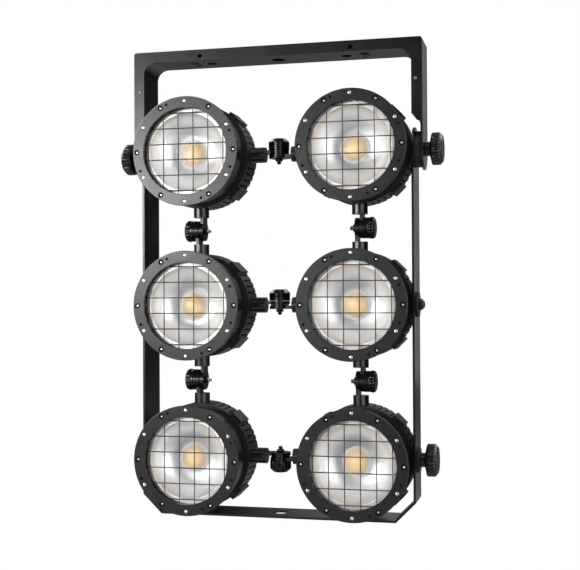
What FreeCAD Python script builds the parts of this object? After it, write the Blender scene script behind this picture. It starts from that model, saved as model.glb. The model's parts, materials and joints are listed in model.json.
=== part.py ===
import FreeCAD, Part
import Sketcher
import os
import re

# Six-head strobe light: three rows of two heads in a bent flat-bar frame, hung from a yoke
# X runs to the right, Y away from the viewer and Z up
# The origin is the clamp hole in the middle of the yoke, on its top face

SIZES = [
    # Lay-out of the whole light
    ("column_pitch", 306, "between the axes of the two columns"),
    ("row_pitch", 282, "between the rows"),
    ("yoke_drop", 198, "yoke top to the axis of the top row"),
    ("pivot_depth", 99, "bezel face to the tilt axis"),
    ("overrun", 2, "how far a cutting solid passes the face that it cuts"),
    ("seat_gap", 0.3, "between curved faces of pieces that move apart"),
    ("running_gap", 0.06, "radial clearance of a turning stud"),
    # Bezel ring
    ("bezel_r", 100, "outer radius of the bezel"),
    ("window_r", 79, "radius of the bezel's opening"),
    ("bezel_thick", 6, "thickness of the bezel"),
    ("bezel_chamfer", 0.8, "edge break of the bezel"),
    ("screw_circle_r", 92, "radius of the screw circle"),
    ("screw_shank_r", 2, "M4 shank"),
    ("screw_head_r", 3.4, "pan head"),
    ("screw_head_tall", 2, "pan head height"),
    ("screw_grip", 8, "thread in the housing"),
    ("screw_hole_gap", 0.3, "radial clearance of a screw hole"),
    ("sink_r", 5, "radius of a counterbore"),
    ("sink_deep", 3, "depth of a counterbore"),
    ("witness_r", 1.4, "small extra holes in the bezel"),
    # Grille, glass, reflector and LED
    ("wire_r", 1, "radius of a grille wire"),
    ("wire_pitch", 28.5, "between grille wires"),
    ("wire_weld", 0.3, "how far crossing wires sink into each other"),
    ("rim_wide", 6, "width of the grille's rim"),
    ("rim_r", 87, "outer radius of the grille's rim"),
    ("rim_thick", 2.4, "thickness of that rim"),
    ("glass_thick", 4, "front glass"),
    ("reflector_thick", 1.2, "spun reflector wall"),
    ("reflector_arc_r", 48, "radius of the bowl's curve"),
    ("reflector_lip", 7, "flat lip round the bowl's mouth"),
    ("throat_r", 28, "hole at the bottom of the bowl"),
    ("led_r", 24.5, "radius of the LED module"),
    ("led_thick", 1.6, "thickness of the LED module"),
    ("led_dome", 8, "height of the lens over the LED module"),
    ("holder_wide", 2.2, "width of the LED holder"),
    ("holder_thick", 2.4, "thickness of the LED holder"),
    ("led_depth", 53, "bezel face to the LED's front face"),
    # Housing
    ("flange_r", 98, "front flange of the housing"),
    ("flange_thick", 6, "front flange thickness"),
    ("shell_front_r", 95.5, "shell radius behind the flange"),
    ("shell_back_r", 92, "shell radius at the back"),
    ("shell_wall", 3, "shell wall"),
    ("ledge_thick", 3, "ledge behind the glass"),
    ("ledge_wide", 1, "window edge to the ledge's edge"),
    ("shell_back_y", 26, "tilt axis to the back end of the shell"),
    # Heat sink
    ("groove_deep", 3.2, "depth of the groove behind the shell"),
    ("spigot_long", 6, "heat sink collar inside the shell"),
    ("groove_wide", 4, "width of that groove"),
    ("drum_r", 98, "radius of the heat sink drum"),
    ("drum_taper_y", 42, "tilt axis to the start of the drum's taper"),
    ("drum_back_y", 57, "tilt axis to the back face of the drum"),
    ("drum_taper", 6.5, "how much the drum's radius drops to its back edge"),
    ("pedestal_r", 34, "LED pedestal radius"),
    ("slot_wide", 3, "cooling slot width"),
    ("slot_deep", 9, "cooling slot depth"),
    ("slot_front_y", 14, "tilt axis to the front end of a slot"),
    ("block_long", 26, "raised block, round the drum"),
    ("block_proud", 5, "raised block above the drum"),
    ("block_front_y", 16, "tilt axis to the front of a block"),
    ("block_back_y", 36, "tilt axis to the back of a block"),
    ("block_root", 4, "root of a raised block inside the drum"),
    ("drum_wall", 12, "wall round the pocket in the back of the heat sink"),
    ("back_pocket_deep", 83, "depth of the pocket"),
    ("fin_inset", 4, "fins below the back face"),
    ("fin_thick", 2, "thickness of a fin"),
    ("fin_pitch", 14, "between fins"),
    # Links between heads
    ("lug_r", 14.5, "foot of a link lug"),
    ("lug_reach", 25.4, "foot to the link's axis"),
    ("lug_sink", 6, "how far the blank of a foot enters the drum"),
    ("tongue_thick", 6, "link tongue"),
    ("tongue_r", 19, "rounded end of a tongue"),
    ("tongue_neck", 13, "half width of a tongue's neck"),
    ("disc_thick", 3, "friction disc between the tongues"),
    ("disc_r", 17, "friction disc radius"),
    ("link_stud_r", 4, "M8 stud"),
    ("link_slot_long", 3.2, "slot in the open tongue, past the stud"),
    ("link_slot_gap", 0.5, "clearance in that slot"),
    ("link_knob_r", 20.2, "link knob head"),
    ("link_knob_head", 11, "link knob head length"),
    ("link_collar_r", 19.4, "link knob collar"),
    ("link_collar", 10.5, "link knob collar length"),
    ("knob_groove", 0.8, "ring groove in a knob's collar"),
    ("link_knob_edge", 5.5, "rounded outer edge of the knob"),
    ("link_nut_r", 7.2, "nut, across corners"),
    ("link_nut_thick", 5, "nut thickness"),
    ("link_stud_end", 5.5, "stud past the nut"),
    ("flute_r", 1.5, "flute in a link knob"),
    ("link_flutes", 18, "flutes round a link knob"),
    # Side pivots and clamp knobs
    ("boss_r", 20, "side boss of a head"),
    ("boss_gap", 0.3, "boss to the frame"),
    ("stud_r", 5, "M10 stud"),
    ("stud_bite", 11, "stud inside the drum"),
    ("spacer_r", 33, "spacer disc"),
    ("hub_r", 13, "hub between plate and knob"),
    ("hub_long", 9, "length of that hub"),
    ("knob_r", 29.5, "clamp knob"),
    ("knob_long", 24, "clamp knob length"),
    ("knob_edge", 6, "chamfer of the clamp knob"),
    ("knob_cone", 4, "depth of the cone at its back"),
    ("knob_flutes", 30, "flutes round a clamp knob"),
    ("knob_flute_r", 1.9, "flute of a clamp knob"),
    ("washer_r", 23.5, "washer plate"),
    ("washer_thick", 4, "washer plate thickness"),
    ("bolt_head_r", 10.4, "hex bolt head, across corners"),
    ("bolt_head_tall", 6.5, "hex bolt head"),
    ("bolt_tip_r", 4.2, "turned end of the bolt"),
    ("bolt_tip_long", 4, "length of that end"),
    # Lower frame
    ("side_room", 2.5, "drum to the inner face of the lower frame"),
    ("strap_wide", 80, "width of its flat bar"),
    ("strap_thick", 4, "thickness of its flat bar"),
    ("under_room", 6.5, "drum to the lower frame's bottom bar"),
    ("strap_corner", 36, "size of the bent corners"),
    ("spigot_hole_r", 14.5, "hole in the bottom bar"),
    ("lanyard_hole_r", 2.5, "small hole above the middle pivot"),
    ("lanyard_up", 37, "its height above the pivot"),
    # Yoke
    ("spacer_thick", 12.5, "spacer disc between the lower frame and the yoke"),
    ("yoke_wide", 76, "width of the yoke's plate"),
    ("yoke_thick", 4, "thickness of the yoke's plate"),
    ("yoke_bend_r", 5, "outer bend of the plate"),
    ("channel_tall", 16, "height of the channel inside the plate"),
    ("channel_wall", 3, "channel wall"),
    ("channel_corner_r", 22, "inner corners of the channel"),
    ("channel_end_r", 24, "curved end of the channel"),
    ("channel_end_up", 38, "pivot to the end of the channel"),
    ("clamp_hole_r", 6.5, "clamp hole in the middle"),
    ("side_hole_r", 5.5, "clamp holes at the sides"),
    ("side_hole_x", 130, "middle to a side hole"),
    ("access_r", 12.3, "access hole below the clamp hole"),
    ("side_access_r", 9.5, "access hole below a side hole"),
    ("front_hole_r", 4, "hole in the front wall"),
    ("front_hole_x", 143, "middle to that hole"),
    ("leg_hole_r", 3, "hole in the right leg"),
    ("leg_hole_drop", 28, "top to that hole"),
    ("yoke_screw_r", 3, "head of a channel screw"),
    ("yoke_screw_tall", 1.5, "height of that head"),
    ("yoke_screw_drop", 75, "top to a channel screw"),
    # Cable gland on the back of a head
    ("gland_boss_r", 14, "boss that carries the gland"),
    ("gland_hex_r", 11, "gland hexagon, across corners"),
    ("gland_hex_thick", 5, "gland hexagon"),
    ("gland_neck_r", 8.6, "gland neck"),
    ("gland_neck_long", 2.5, "length of that neck"),
    ("gland_nut_r", 10, "gland nut"),
    ("gland_tip_r", 7, "tip of the gland nut"),
    ("gland_nut_long", 11, "gland nut length"),
    ("gland_bore_r", 3.5, "way through the gland and the boss"),
]

doc = FreeCAD.newDocument("strobe_light")
sheet = doc.addObject("Spreadsheet::Sheet", "Sizes")
for row, (alias, size, note) in enumerate(SIZES, start=1):
    sheet.set("A%d" % row, alias)
    sheet.set("B%d" % row, str(size))
    sheet.set("C%d" % row, note)
    sheet.setAlias("B%d" % row, alias)
doc.recompute()
ALIASES = {alias for alias, size, note in SIZES}
nodes = []


def value(text):
    """The number that an expression in named sizes gives now"""
    return float(sheet.evalExpression(text))


def bind(thing, prop, text):
    """Tie one property of a document object to an expression in named sizes"""
    linked = re.sub(r"[a-z][a-z_]*[a-z]", lambda m: "Sizes." + m[0] if m[0] in ALIASES else m[0], text)
    thing.setExpression(prop, linked)


def node(thing, label):
    """Name an object as one sub-part of the light"""
    thing.Label = label
    nodes.append(thing)
    return thing


TURN = {
    "x": FreeCAD.Rotation(FreeCAD.Vector(0, 1, 0), 90),
    "y": FreeCAD.Rotation(FreeCAD.Vector(1, 0, 0), -90),
    "z": FreeCAD.Rotation(),
}


def place(thing, at, turn=None):
    """Put an object at a point given as three expressions"""
    thing.Placement = FreeCAD.Placement(FreeCAD.Vector(), turn or FreeCAD.Rotation())
    for letter, text in zip("xyz", at):
        if text != "0":
            bind(thing, "Placement.Base." + letter, text)


def rod(name, radius, length, axis, at):
    """Cylinder from a point along +X, +Y or +Z"""
    thing = doc.addObject("Part::Cylinder", name)
    bind(thing, "Radius", radius)
    bind(thing, "Height", length)
    place(thing, at, TURN[axis])
    return thing


def hexagon(name, corner_r, length, axis, at):
    """Six-sided prism from a point along an axis"""
    thing = doc.addObject("Part::Prism", name)
    thing.Polygon = 6
    bind(thing, "Circumradius", corner_r)
    bind(thing, "Height", length)
    place(thing, at, TURN[axis])
    return thing


def block(name, size, at):
    """Box with its low corner at a point"""
    thing = doc.addObject("Part::Box", name)
    for prop, text in zip(("Length", "Width", "Height"), size):
        bind(thing, prop, text)
    place(thing, at)
    return thing


def group(name, things):
    """Several separate solids as one object"""
    thing = doc.addObject("Part::Compound", name)
    thing.Links = things
    return thing


def fuse(name, things):
    thing = doc.addObject("Part::MultiFuse", name)
    thing.Shapes = things
    return thing


def cut(name, base, tools):
    thing = doc.addObject("Part::Cut", name)
    thing.Base = base
    thing.Tool = tools[0] if len(tools) == 1 else group(name + "_tools", tools)
    return thing


def another(name, pattern, at, turn=None):
    """One more of a piece that is modelled once, at a place of its own"""
    thing = group(name, [pattern])
    place(thing, at, turn)
    return thing


def body(name):
    thing = doc.addObject("PartDesign::Body", name)
    thing.AllowCompound = True
    return thing


def origin_part(owner, role):
    return next(f for f in owner.Origin.OriginFeatures if f.Role == role)


def sketch(owner, role, name):
    """Empty sketch on one of a body's own origin planes"""
    made = owner.newObject("Sketcher::SketchObject", name)
    made.AttachmentSupport = (origin_part(owner, role), [""])
    made.MapMode = "FlatFace"
    return made


def pin_point(drawing, geo, pos, text, letter):
    """Hold one coordinate of a sketch point at an expression"""
    kind, axis = ("DistanceX", -2) if letter == "x" else ("DistanceY", -1)
    if text == "0":
        drawing.addConstraint(Sketcher.Constraint("PointOnObject", geo, pos, axis))
        return
    index = drawing.addConstraint(Sketcher.Constraint(kind, -1, 1, geo, pos, value(text)))
    bind(drawing, "Constraints[%d]" % index, text)


def outline(drawing, points):
    """Closed outline of straight lines through points given as pairs of expressions"""
    spots = [FreeCAD.Vector(value(x), value(y), 0) for x, y in points]
    first = drawing.GeometryCount
    for start, end in zip(spots, spots[1:] + spots[:1]):
        drawing.addGeometry(Part.LineSegment(start, end))
    count = len(points)
    for n in range(count):
        following = first + (n + 1) % count
        drawing.addConstraint(Sketcher.Constraint("Coincident", first + n, 2, following, 1))
    for n, (x, y) in enumerate(points):
        pin_point(drawing, first + n, 1, x, "x")
        pin_point(drawing, first + n, 1, y, "y")


def circle(drawing, radius, x="0", y="0"):
    """Circle whose radius and centre are expressions"""
    spot = FreeCAD.Vector(value(x), value(y), 0)
    geo = drawing.addGeometry(Part.Circle(spot, FreeCAD.Vector(0, 0, 1), value(radius)))
    index = drawing.addConstraint(Sketcher.Constraint("Radius", geo, value(radius)))
    bind(drawing, "Constraints[%d]" % index, radius)
    if x == "0" and y == "0":
        drawing.addConstraint(Sketcher.Constraint("Coincident", geo, 3, -1, 1))
        return
    pin_point(drawing, geo, 3, x, "x")
    pin_point(drawing, geo, 3, y, "y")


def extrude(owner, kind, drawing, length, side="Symmetric", reverse=False):
    """Pad or pocket of a sketch"""
    made = owner.newObject("PartDesign::" + kind, drawing.Name + "_" + kind.lower())
    made.Profile = drawing
    made.SideType = side
    made.Reversed = reverse
    bind(made, "Length", length)
    return made


def revolve(owner, kind, drawing, axis):
    """Revolution or groove of a sketch about one of the body's axes"""
    made = owner.newObject("PartDesign::" + kind, drawing.Name + "_" + kind.lower())
    made.Profile = drawing
    made.ReferenceAxis = (origin_part(owner, axis), [""])
    return made


def around(owner, features, axis, count):
    """Polar pattern of features about one of the body's axes"""
    made = owner.newObject("PartDesign::PolarPattern", features[-1].Name + "_round")
    made.Originals = features
    made.Axis = (origin_part(owner, axis), [""])
    bind(made, "Occurrences", count)
    owner.Tip = made
    return made


# Places along the axis of a lamp head, measured from its tilt axis
FACE = "-pivot_depth"
BEZEL_BACK = "-pivot_depth+bezel_thick"
UPRIGHT_WIRE = "-pivot_depth+bezel_thick+rim_thick/2"
LEVEL_WIRE = "-pivot_depth+bezel_thick+rim_thick/2+2*wire_r-wire_weld"
GLASS_FRONT = "-pivot_depth+bezel_thick+rim_thick/2+3*wire_r"
GLASS_BACK = "-pivot_depth+bezel_thick+rim_thick/2+3*wire_r+glass_thick"
LED_FRONT = "-pivot_depth+led_depth"
LED_BACK = "-pivot_depth+led_depth+led_thick"
LENS_R = "(led_r^2+led_dome^2)/(2*led_dome)"
SEAT_R = "rim_r+seat_gap"
POCKET_R = "(drum_r-drum_wall)"
# Half the inner and outer widths of the lower frame, then of the yoke round it
STRAP_INSIDE = "(column_pitch/2+drum_r+side_room)"
STRAP_OUTSIDE = "(column_pitch/2+drum_r+side_room+strap_thick)"
YOKE_INSIDE = "(column_pitch/2+drum_r+side_room+strap_thick+spacer_thick)"
YOKE_OUTSIDE = "(column_pitch/2+drum_r+side_room+strap_thick+spacer_thick+yoke_thick)"
SLOT_ANGLES = (14, 21, 28, 35, 55, 62, 69, 76)
WITNESS_ANGLES = (68, 110, 160, 248, 338)


def lift(drawing, y):
    """Move a sketch of the XZ plane to a place along Y"""
    bind(drawing, "AttachmentOffset.Base.z", "-(%s)" % y)


def spot(radius, angle):
    """Sketch point on a circle, clockwise from the top"""
    return "(%s)*sin(%g deg)" % (radius, angle), "(%s)*cos(%g deg)" % (radius, angle)


def turned_rectangle(inner, outer, wide, angle):
    """Corners of a rectangle between two radii, turned clockwise from the top"""
    corners = []
    for radius, side in ((inner, "-"), (outer, "-"), (outer, "+"), (inner, "+")):
        x = "(%s)*sin(%g deg)%s(%s)/2*cos(%g deg)" % (radius, angle, side, wide, angle)
        z = "(%s)*cos(%g deg)%s(%s)/2*sin(%g deg)" % (radius, angle, "+" if side == "-" else "-", wide, angle)
        corners.append((x, z))
    return corners


def bezel_ring(name):
    """Flat ring with chamfered edges, screw holes and counterbores"""
    ring = body(name)
    profile = sketch(ring, "XY_Plane", name + "_profile")
    outline(profile, [
        ("window_r", FACE + "+bezel_chamfer"),
        ("window_r+bezel_chamfer", FACE),
        ("bezel_r-bezel_chamfer", FACE),
        ("bezel_r", FACE + "+bezel_chamfer"),
        ("bezel_r", BEZEL_BACK),
        ("window_r", BEZEL_BACK),
    ])
    revolve(ring, "Revolution", profile, "Y_Axis")
    hole = sketch(ring, "XZ_Plane", name + "_hole")
    circle(hole, "screw_shank_r+screw_hole_gap", "0", "screw_circle_r")
    drilled = extrude(ring, "Pocket", hole, "2*(pivot_depth+overrun)")
    around(ring, [drilled], "Y_Axis", "12")
    for kind, angle, radius, deep in (("flush", 0, "screw_head_r+screw_hole_gap", "screw_head_tall"),
                                      ("sunk", 30, "sink_r", "sink_deep")):
        sink = sketch(ring, "XZ_Plane", "%s_%s_sink" % (name, kind))
        circle(sink, radius, *spot("screw_circle_r", angle))
        lift(sink, "%s+%s" % (FACE, deep))
        sunk = extrude(ring, "Pocket", sink, deep + "+overrun", "One side", reverse=True)
        around(ring, [sunk], "Y_Axis", "6")
    witness = sketch(ring, "XZ_Plane", name + "_witness")
    for angle in WITNESS_ANGLES:
        circle(witness, "witness_r", *spot("screw_circle_r", angle))
    extrude(ring, "Pocket", witness, "2*(pivot_depth+overrun)")
    return ring


def wire_grille(name):
    """Six upright and six level wires welded to a flat rim"""
    hoop = cut(name + "_hoop", rod(name + "_rim", "rim_r", "rim_thick", "y", ("0", BEZEL_BACK, "0")),
               [rod(name + "_inside", "rim_r-rim_wide", "rim_thick+2*overrun", "y",
                    ("0", BEZEL_BACK + "-overrun", "0"))])
    wires = [hoop]
    for n in range(6):
        across = "wire_pitch*(%g)" % (n - 2.5)
        half = "sqrt((rim_r-rim_wide/2)^2-(%s)^2)" % across
        wires.append(rod("%s_upright_%d" % (name, n), "wire_r", "2*" + half, "z",
                         (across, UPRIGHT_WIRE, "-" + half)))
        wires.append(rod("%s_level_%d" % (name, n), "wire_r", "2*" + half, "x",
                         ("-" + half, LEVEL_WIRE, across)))
    return fuse(name, wires)


def arc(drawing, start, end, radius):
    """Anticlockwise arc of a given radius between two points, bulging away from the sketch's origin"""
    spots = [FreeCAD.Vector(value(x), value(y), 0) for x, y in (start, end)]
    half = (spots[1] - spots[0]) / 2
    middle = spots[0] + half
    outward = FreeCAD.Vector(abs(half.y), abs(half.x), 0).normalize()
    rise = value(radius) - (value(radius) ** 2 - half.Length ** 2) ** 0.5
    geo = drawing.addGeometry(Part.Arc(spots[0], middle + outward * rise, spots[1]))
    index = drawing.addConstraint(Sketcher.Constraint("Radius", geo, value(radius)))
    bind(drawing, "Constraints[%d]" % index, radius)
    drawn_from = drawing.Geometry[geo].StartPoint
    first, last = (1, 2) if drawn_from.distanceToPoint(spots[0]) < value("overrun") else (2, 1)
    for pos, (x, y) in ((first, start), (last, end)):
        pin_point(drawing, geo, pos, x, "x")
        pin_point(drawing, geo, pos, y, "y")
    return (geo, first), (geo, last)


def run(drawing, start, points, end):
    """Straight lines from one end of an arc, through points given as expressions, to another such end"""
    ends = [drawing.Geometry[geo].StartPoint if pos == 1 else drawing.Geometry[geo].EndPoint
            for geo, pos in (start, end)]
    spots = [ends[0]] + [FreeCAD.Vector(value(x), value(y), 0) for x, y in points] + [ends[1]]
    first = drawing.GeometryCount
    for one, other in zip(spots, spots[1:]):
        drawing.addGeometry(Part.LineSegment(one, other))
    drawing.addConstraint(Sketcher.Constraint("Coincident", first, 1, *start))
    for n, (x, y) in enumerate(points):
        drawing.addConstraint(Sketcher.Constraint("Coincident", first + n, 2, first + n + 1, 1))
        pin_point(drawing, first + n, 2, x, "x")
        pin_point(drawing, first + n, 2, y, "y")
    drawing.addConstraint(Sketcher.Constraint("Coincident", first + len(points), 2, *end))


def reflector(name):
    """Spun bowl with a flat lip at its mouth and an open throat round the LED"""
    bowl = body(name)
    profile = sketch(bowl, "XY_Plane", name + "_profile")
    mouth_r = "window_r+ledge_wide-seat_gap"
    mouth_y = GLASS_BACK + "+seat_gap"
    back_y = mouth_y + "+reflector_thick"
    inner = arc(profile, (mouth_r + "-reflector_lip-reflector_thick", mouth_y), ("throat_r", LED_FRONT),
                "reflector_arc_r")
    outer = arc(profile, (mouth_r + "-reflector_lip", back_y), ("throat_r", LED_FRONT + "+reflector_thick"),
                "reflector_arc_r+reflector_thick")
    run(profile, inner[0], [(mouth_r, mouth_y), (mouth_r, back_y)], outer[0])
    run(profile, inner[1], [], outer[1])
    revolve(bowl, "Revolution", profile, "Y_Axis")
    return bowl


def led_module(name, at):
    """Round LED module under a shallow lens"""
    lens = doc.addObject("Part::Sphere", name + "_lens")
    bind(lens, "Radius", LENS_R)
    place(lens, ("0", LED_FRONT + "-led_dome+" + LENS_R, "0"))
    stack = rod(name + "_stack", "led_r", "led_dome+led_thick", "y", ("0", LED_FRONT + "-led_dome", "0"))
    module = doc.addObject("Part::Common", name)
    module.Base = stack
    module.Tool = lens
    place(module, at)
    return module


def housing(name):
    """Tapered front shell with a flange that seats the glass and the grille"""
    shell = body(name)
    profile = sketch(shell, "XY_Plane", name + "_profile")
    outline(profile, [
        (SEAT_R, BEZEL_BACK),
        ("flange_r", BEZEL_BACK),
        ("flange_r", BEZEL_BACK + "+flange_thick"),
        ("shell_front_r", BEZEL_BACK + "+flange_thick"),
        ("shell_back_r", "-shell_back_y"),
        ("shell_back_r-shell_wall", "-shell_back_y"),
        ("shell_front_r-shell_wall", GLASS_BACK + "+ledge_thick"),
        ("window_r+ledge_wide", GLASS_BACK + "+ledge_thick"),
        ("window_r+ledge_wide", GLASS_BACK),
        (SEAT_R, GLASS_BACK),
    ])
    revolve(shell, "Revolution", profile, "Y_Axis")
    hole = sketch(shell, "XZ_Plane", name + "_hole")
    circle(hole, "screw_shank_r+screw_hole_gap", "0", "screw_circle_r")
    lift(hole, BEZEL_BACK + "+screw_grip+screw_hole_gap")
    drilled = extrude(shell, "Pocket", hole, "screw_grip+screw_hole_gap+overrun", "One side", reverse=True)
    around(shell, [drilled], "Y_Axis", "12")
    return shell


def heat_sink(name, outer_side):
    """Drum with cooling slots, raised blocks, a finned back and a bore for the side stud"""
    drum = body(name)
    neck_front = "-shell_back_y"
    drum_front = "-shell_back_y+groove_wide"
    collar_r = "shell_back_r-shell_wall-seat_gap"
    profile = sketch(drum, "XY_Plane", name + "_profile")
    outline(profile, [
        ("0", LED_BACK),
        ("pedestal_r", LED_BACK),
        ("pedestal_r", neck_front + "-spigot_long"),
        (collar_r, neck_front + "-spigot_long"),
        (collar_r, neck_front),
        ("drum_r-groove_deep", neck_front),
        ("drum_r-groove_deep", drum_front),
        ("drum_r", drum_front),
        ("drum_r", "drum_taper_y"),
        ("drum_r-drum_taper", "drum_back_y"),
        ("0", "drum_back_y"),
    ])
    revolve(drum, "Revolution", profile, "Y_Axis")
    blocks = sketch(drum, "XZ_Plane", name + "_block")
    outline(blocks, turned_rectangle("drum_r-block_root", "drum_r+block_proud", "block_long", 45))
    lift(blocks, "-block_front_y")
    raised = extrude(drum, "Pad", blocks, "block_front_y+block_back_y", "One side", reverse=True)
    around(drum, [raised], "Y_Axis", "4")
    slots = sketch(drum, "XZ_Plane", name + "_slots")
    for angle in SLOT_ANGLES:
        outline(slots, turned_rectangle("drum_r-slot_deep", "drum_r+overrun", "slot_wide", angle))
    lift(slots, "-slot_front_y")
    slotted = extrude(drum, "Pocket", slots, "slot_front_y+drum_back_y+overrun", "One side")
    around(drum, [slotted], "Y_Axis", "4")
    hollow = sketch(drum, "XZ_Plane", name + "_hollow")
    circle(hollow, POCKET_R)
    lift(hollow, "drum_back_y-back_pocket_deep")
    extrude(drum, "Pocket", hollow, "back_pocket_deep+overrun", "One side")
    fins = sketch(drum, "XZ_Plane", name + "_fins")
    for n in range(-4, 5):
        middle = "fin_pitch*(%d)" % n
        half = "sqrt((%s+overrun/2)^2-(%s)^2)" % (POCKET_R, middle)
        outline(fins, [(middle + "-fin_thick/2", "-" + half), (middle + "+fin_thick/2", "-" + half),
                       (middle + "+fin_thick/2", half), (middle + "-fin_thick/2", half)])
    lift(fins, "drum_back_y-back_pocket_deep")
    extrude(drum, "Pad", fins, "back_pocket_deep-fin_inset", "One side", reverse=True)
    post = sketch(drum, "XZ_Plane", name + "_post")
    circle(post, "gland_boss_r")
    lift(post, "drum_back_y-back_pocket_deep")
    extrude(drum, "Pad", post, "back_pocket_deep-fin_inset", "One side", reverse=True)
    way = sketch(drum, "XZ_Plane", name + "_way")
    circle(way, "gland_bore_r")
    extrude(drum, "Pocket", way, "2*(pivot_depth+overrun)")
    bore = sketch(drum, "YZ_Plane", name + "_bore")
    circle(bore, "stud_r+running_gap")
    bind(bore, "AttachmentOffset.Base.z", "%s(drum_r-stud_bite)" % ("" if outer_side > 0 else "-"))
    extrude(drum, "Pocket", bore, "stud_bite+overrun", "One side", reverse=outer_side > 0)
    return drum


def bezel_screws(name):
    """Six flush screws and six in the counterbores of one bezel"""
    screws = body(name)
    seats = (("flush", 0, FACE + "+screw_head_tall"), ("sunk", 30, FACE + "+sink_deep"))
    for kind, angle, start in seats:
        shank = sketch(screws, "XZ_Plane", "%s_%s_shank" % (name, kind))
        circle(shank, "screw_shank_r", *spot("screw_circle_r", angle))
        lift(shank, start)
        deep = BEZEL_BACK + "+screw_grip-(%s)" % start
        stem = extrude(screws, "Pad", shank, deep, "One side", reverse=True)
        top = sketch(screws, "XZ_Plane", "%s_%s_head" % (name, kind))
        circle(top, "screw_head_r", *spot("screw_circle_r", angle))
        lift(top, start)
        head = extrude(screws, "Pad", top, "screw_head_tall", "One side")
        around(screws, [stem, head], "Y_Axis", "6")
    return screws


def link_lug(name, at, reach, turn, slotted):
    """Foot on the drum and a flat tongue that ends round the link's axis"""
    side = "-(disc_thick/2+tongue_thick)"
    foot = rod(name + "_foot", "lug_r", "%s-lug_reach-drum_r+lug_sink" % reach, "z",
               ("0", "0", "drum_r-lug_sink"))
    neck = block(name + "_neck", ("tongue_thick", "2*tongue_neck", "lug_reach+overrun"),
                 (side, "-tongue_neck", reach + "-lug_reach-overrun"))
    end = rod(name + "_end", "tongue_r", "tongue_thick", "x", (side, "0", reach))
    clearance = "link_slot_gap" if slotted else "running_gap"
    tools = [rod(name + "_drum", "drum_r", "4*lug_r", "y", ("0", "-2*lug_r", "0"))]
    holes = [rod(name + "_hole", "link_stud_r+" + clearance, "tongue_thick+2*overrun", "x",
                 (side + "-overrun", "0", reach))]
    if slotted:
        holes.append(rod(name + "_hole_end", "link_stud_r+" + clearance, "tongue_thick+2*overrun", "x",
                         (side + "-overrun", "0", reach + "+link_slot_long")))
        holes.append(block(name + "_slot", ("tongue_thick+2*overrun", "2*(link_stud_r+link_slot_gap)",
                                            "link_slot_long"),
                           (side + "-overrun", "-(link_stud_r+link_slot_gap)", reach)))
        holes = [fuse(name + "_opening", holes)]
    lug = cut(name, fuse(name + "_blank", [foot, neck, end]), tools + holes)
    place(lug, at, FreeCAD.Rotation(FreeCAD.Vector(0, 1, 0), turn))
    return lug


def side_boss(name, at, outer_side):
    """Boss between a drum and the lower frame, bored for the stud"""
    seat = "(drum_r+side_room-boss_gap)"
    blank = rod(name + "_blank", "boss_r", seat + "-drum_r+lug_sink", "z", ("0", "0", "drum_r-lug_sink"))
    drum = rod(name + "_drum", "drum_r", "4*boss_r", "y", ("0", "-2*boss_r", "0"))
    bore = rod(name + "_bore", "stud_r+running_gap", "2*drum_r", "z", ("0", "0", "drum_r-2*lug_sink"))
    boss = cut(name, blank, [fuse(name + "_cutter", [drum, bore])])
    place(boss, at, FreeCAD.Rotation(FreeCAD.Vector(0, 1, 0), 90 * outer_side))
    return boss


KNOB_TURN = {
    "+x": FreeCAD.Rotation(),
    "-x": FreeCAD.Rotation(FreeCAD.Vector(0, 0, 1), 180),
    "+z": FreeCAD.Rotation(FreeCAD.Vector(0, 1, 0), -90),
    "-z": FreeCAD.Rotation(FreeCAD.Vector(0, 1, 0), 90),
}
LINK_FACE = "disc_thick/2+tongue_thick+seat_gap"


def friction_disc(name, at, way):
    blank = rod(name + "_blank", "disc_r", "disc_thick-seat_gap", "x", ("(seat_gap-disc_thick)/2", "0", "0"))
    bore = rod(name + "_bore", "link_stud_r+running_gap", "disc_thick+2*overrun", "x",
               ("-disc_thick/2-overrun", "0", "0"))
    disc = cut(name, blank, [bore])
    place(disc, at, KNOB_TURN[way])
    return disc


def link_nut(name, at, way):
    """Nut on the end of a link's stud, across from the knob"""
    start = "-(%s+link_nut_thick)" % LINK_FACE
    blank = hexagon(name + "_blank", "link_nut_r", "link_nut_thick", "x", (start, "0", "0"))
    bore = rod(name + "_bore", "link_stud_r+running_gap", "link_nut_thick+2*overrun", "x",
               (start + "-overrun", "0", "0"))
    nut = cut(name, blank, [bore])
    place(nut, at, KNOB_TURN[way])
    return nut


def fluted(knob, name, radius, flute, start, length, count):
    """Flutes round a knob whose axis is X"""
    groove = sketch(knob, "YZ_Plane", name + "_flute")
    circle(groove, flute, "0", radius)
    bind(groove, "AttachmentOffset.Base.z", start)
    cutter = extrude(knob, "Pocket", groove, length, "One side", reverse=True)
    around(knob, [cutter], "X_Axis", count)


def link_knob(name):
    """Fluted knob with a grooved collar and its stud through both tongues"""
    knob = body(name)
    collar_end = LINK_FACE + "+link_collar"
    groove_mid = LINK_FACE + "+link_collar/2"
    end = collar_end + "+link_knob_head"
    profile = sketch(knob, "XY_Plane", name + "_profile")
    stud_end = "-(%s+link_nut_thick+link_stud_end)" % LINK_FACE
    edge = arc(profile, (end, "link_knob_r-link_knob_edge"), (end + "-link_knob_edge", "link_knob_r"),
               "link_knob_edge")
    run(profile, edge[0], [
        (end, "0"),
        (stud_end, "0"),
        (stud_end, "link_stud_r"),
        (LINK_FACE, "link_stud_r"),
        (LINK_FACE, "link_collar_r"),
        (groove_mid + "-knob_groove", "link_collar_r"),
        (groove_mid, "link_collar_r-knob_groove"),
        (groove_mid + "+knob_groove", "link_collar_r"),
        (collar_end + "-knob_groove", "link_collar_r"),
        (collar_end, "link_collar_r-knob_groove"),
        (collar_end + "+knob_groove", "link_knob_r"),
    ], edge[1])
    revolve(knob, "Revolution", profile, "X_Axis")
    fluted(knob, name, "link_knob_r+flute_r/3", "flute_r", collar_end, "link_knob_head+overrun",
           "link_flutes")
    return knob


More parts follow.
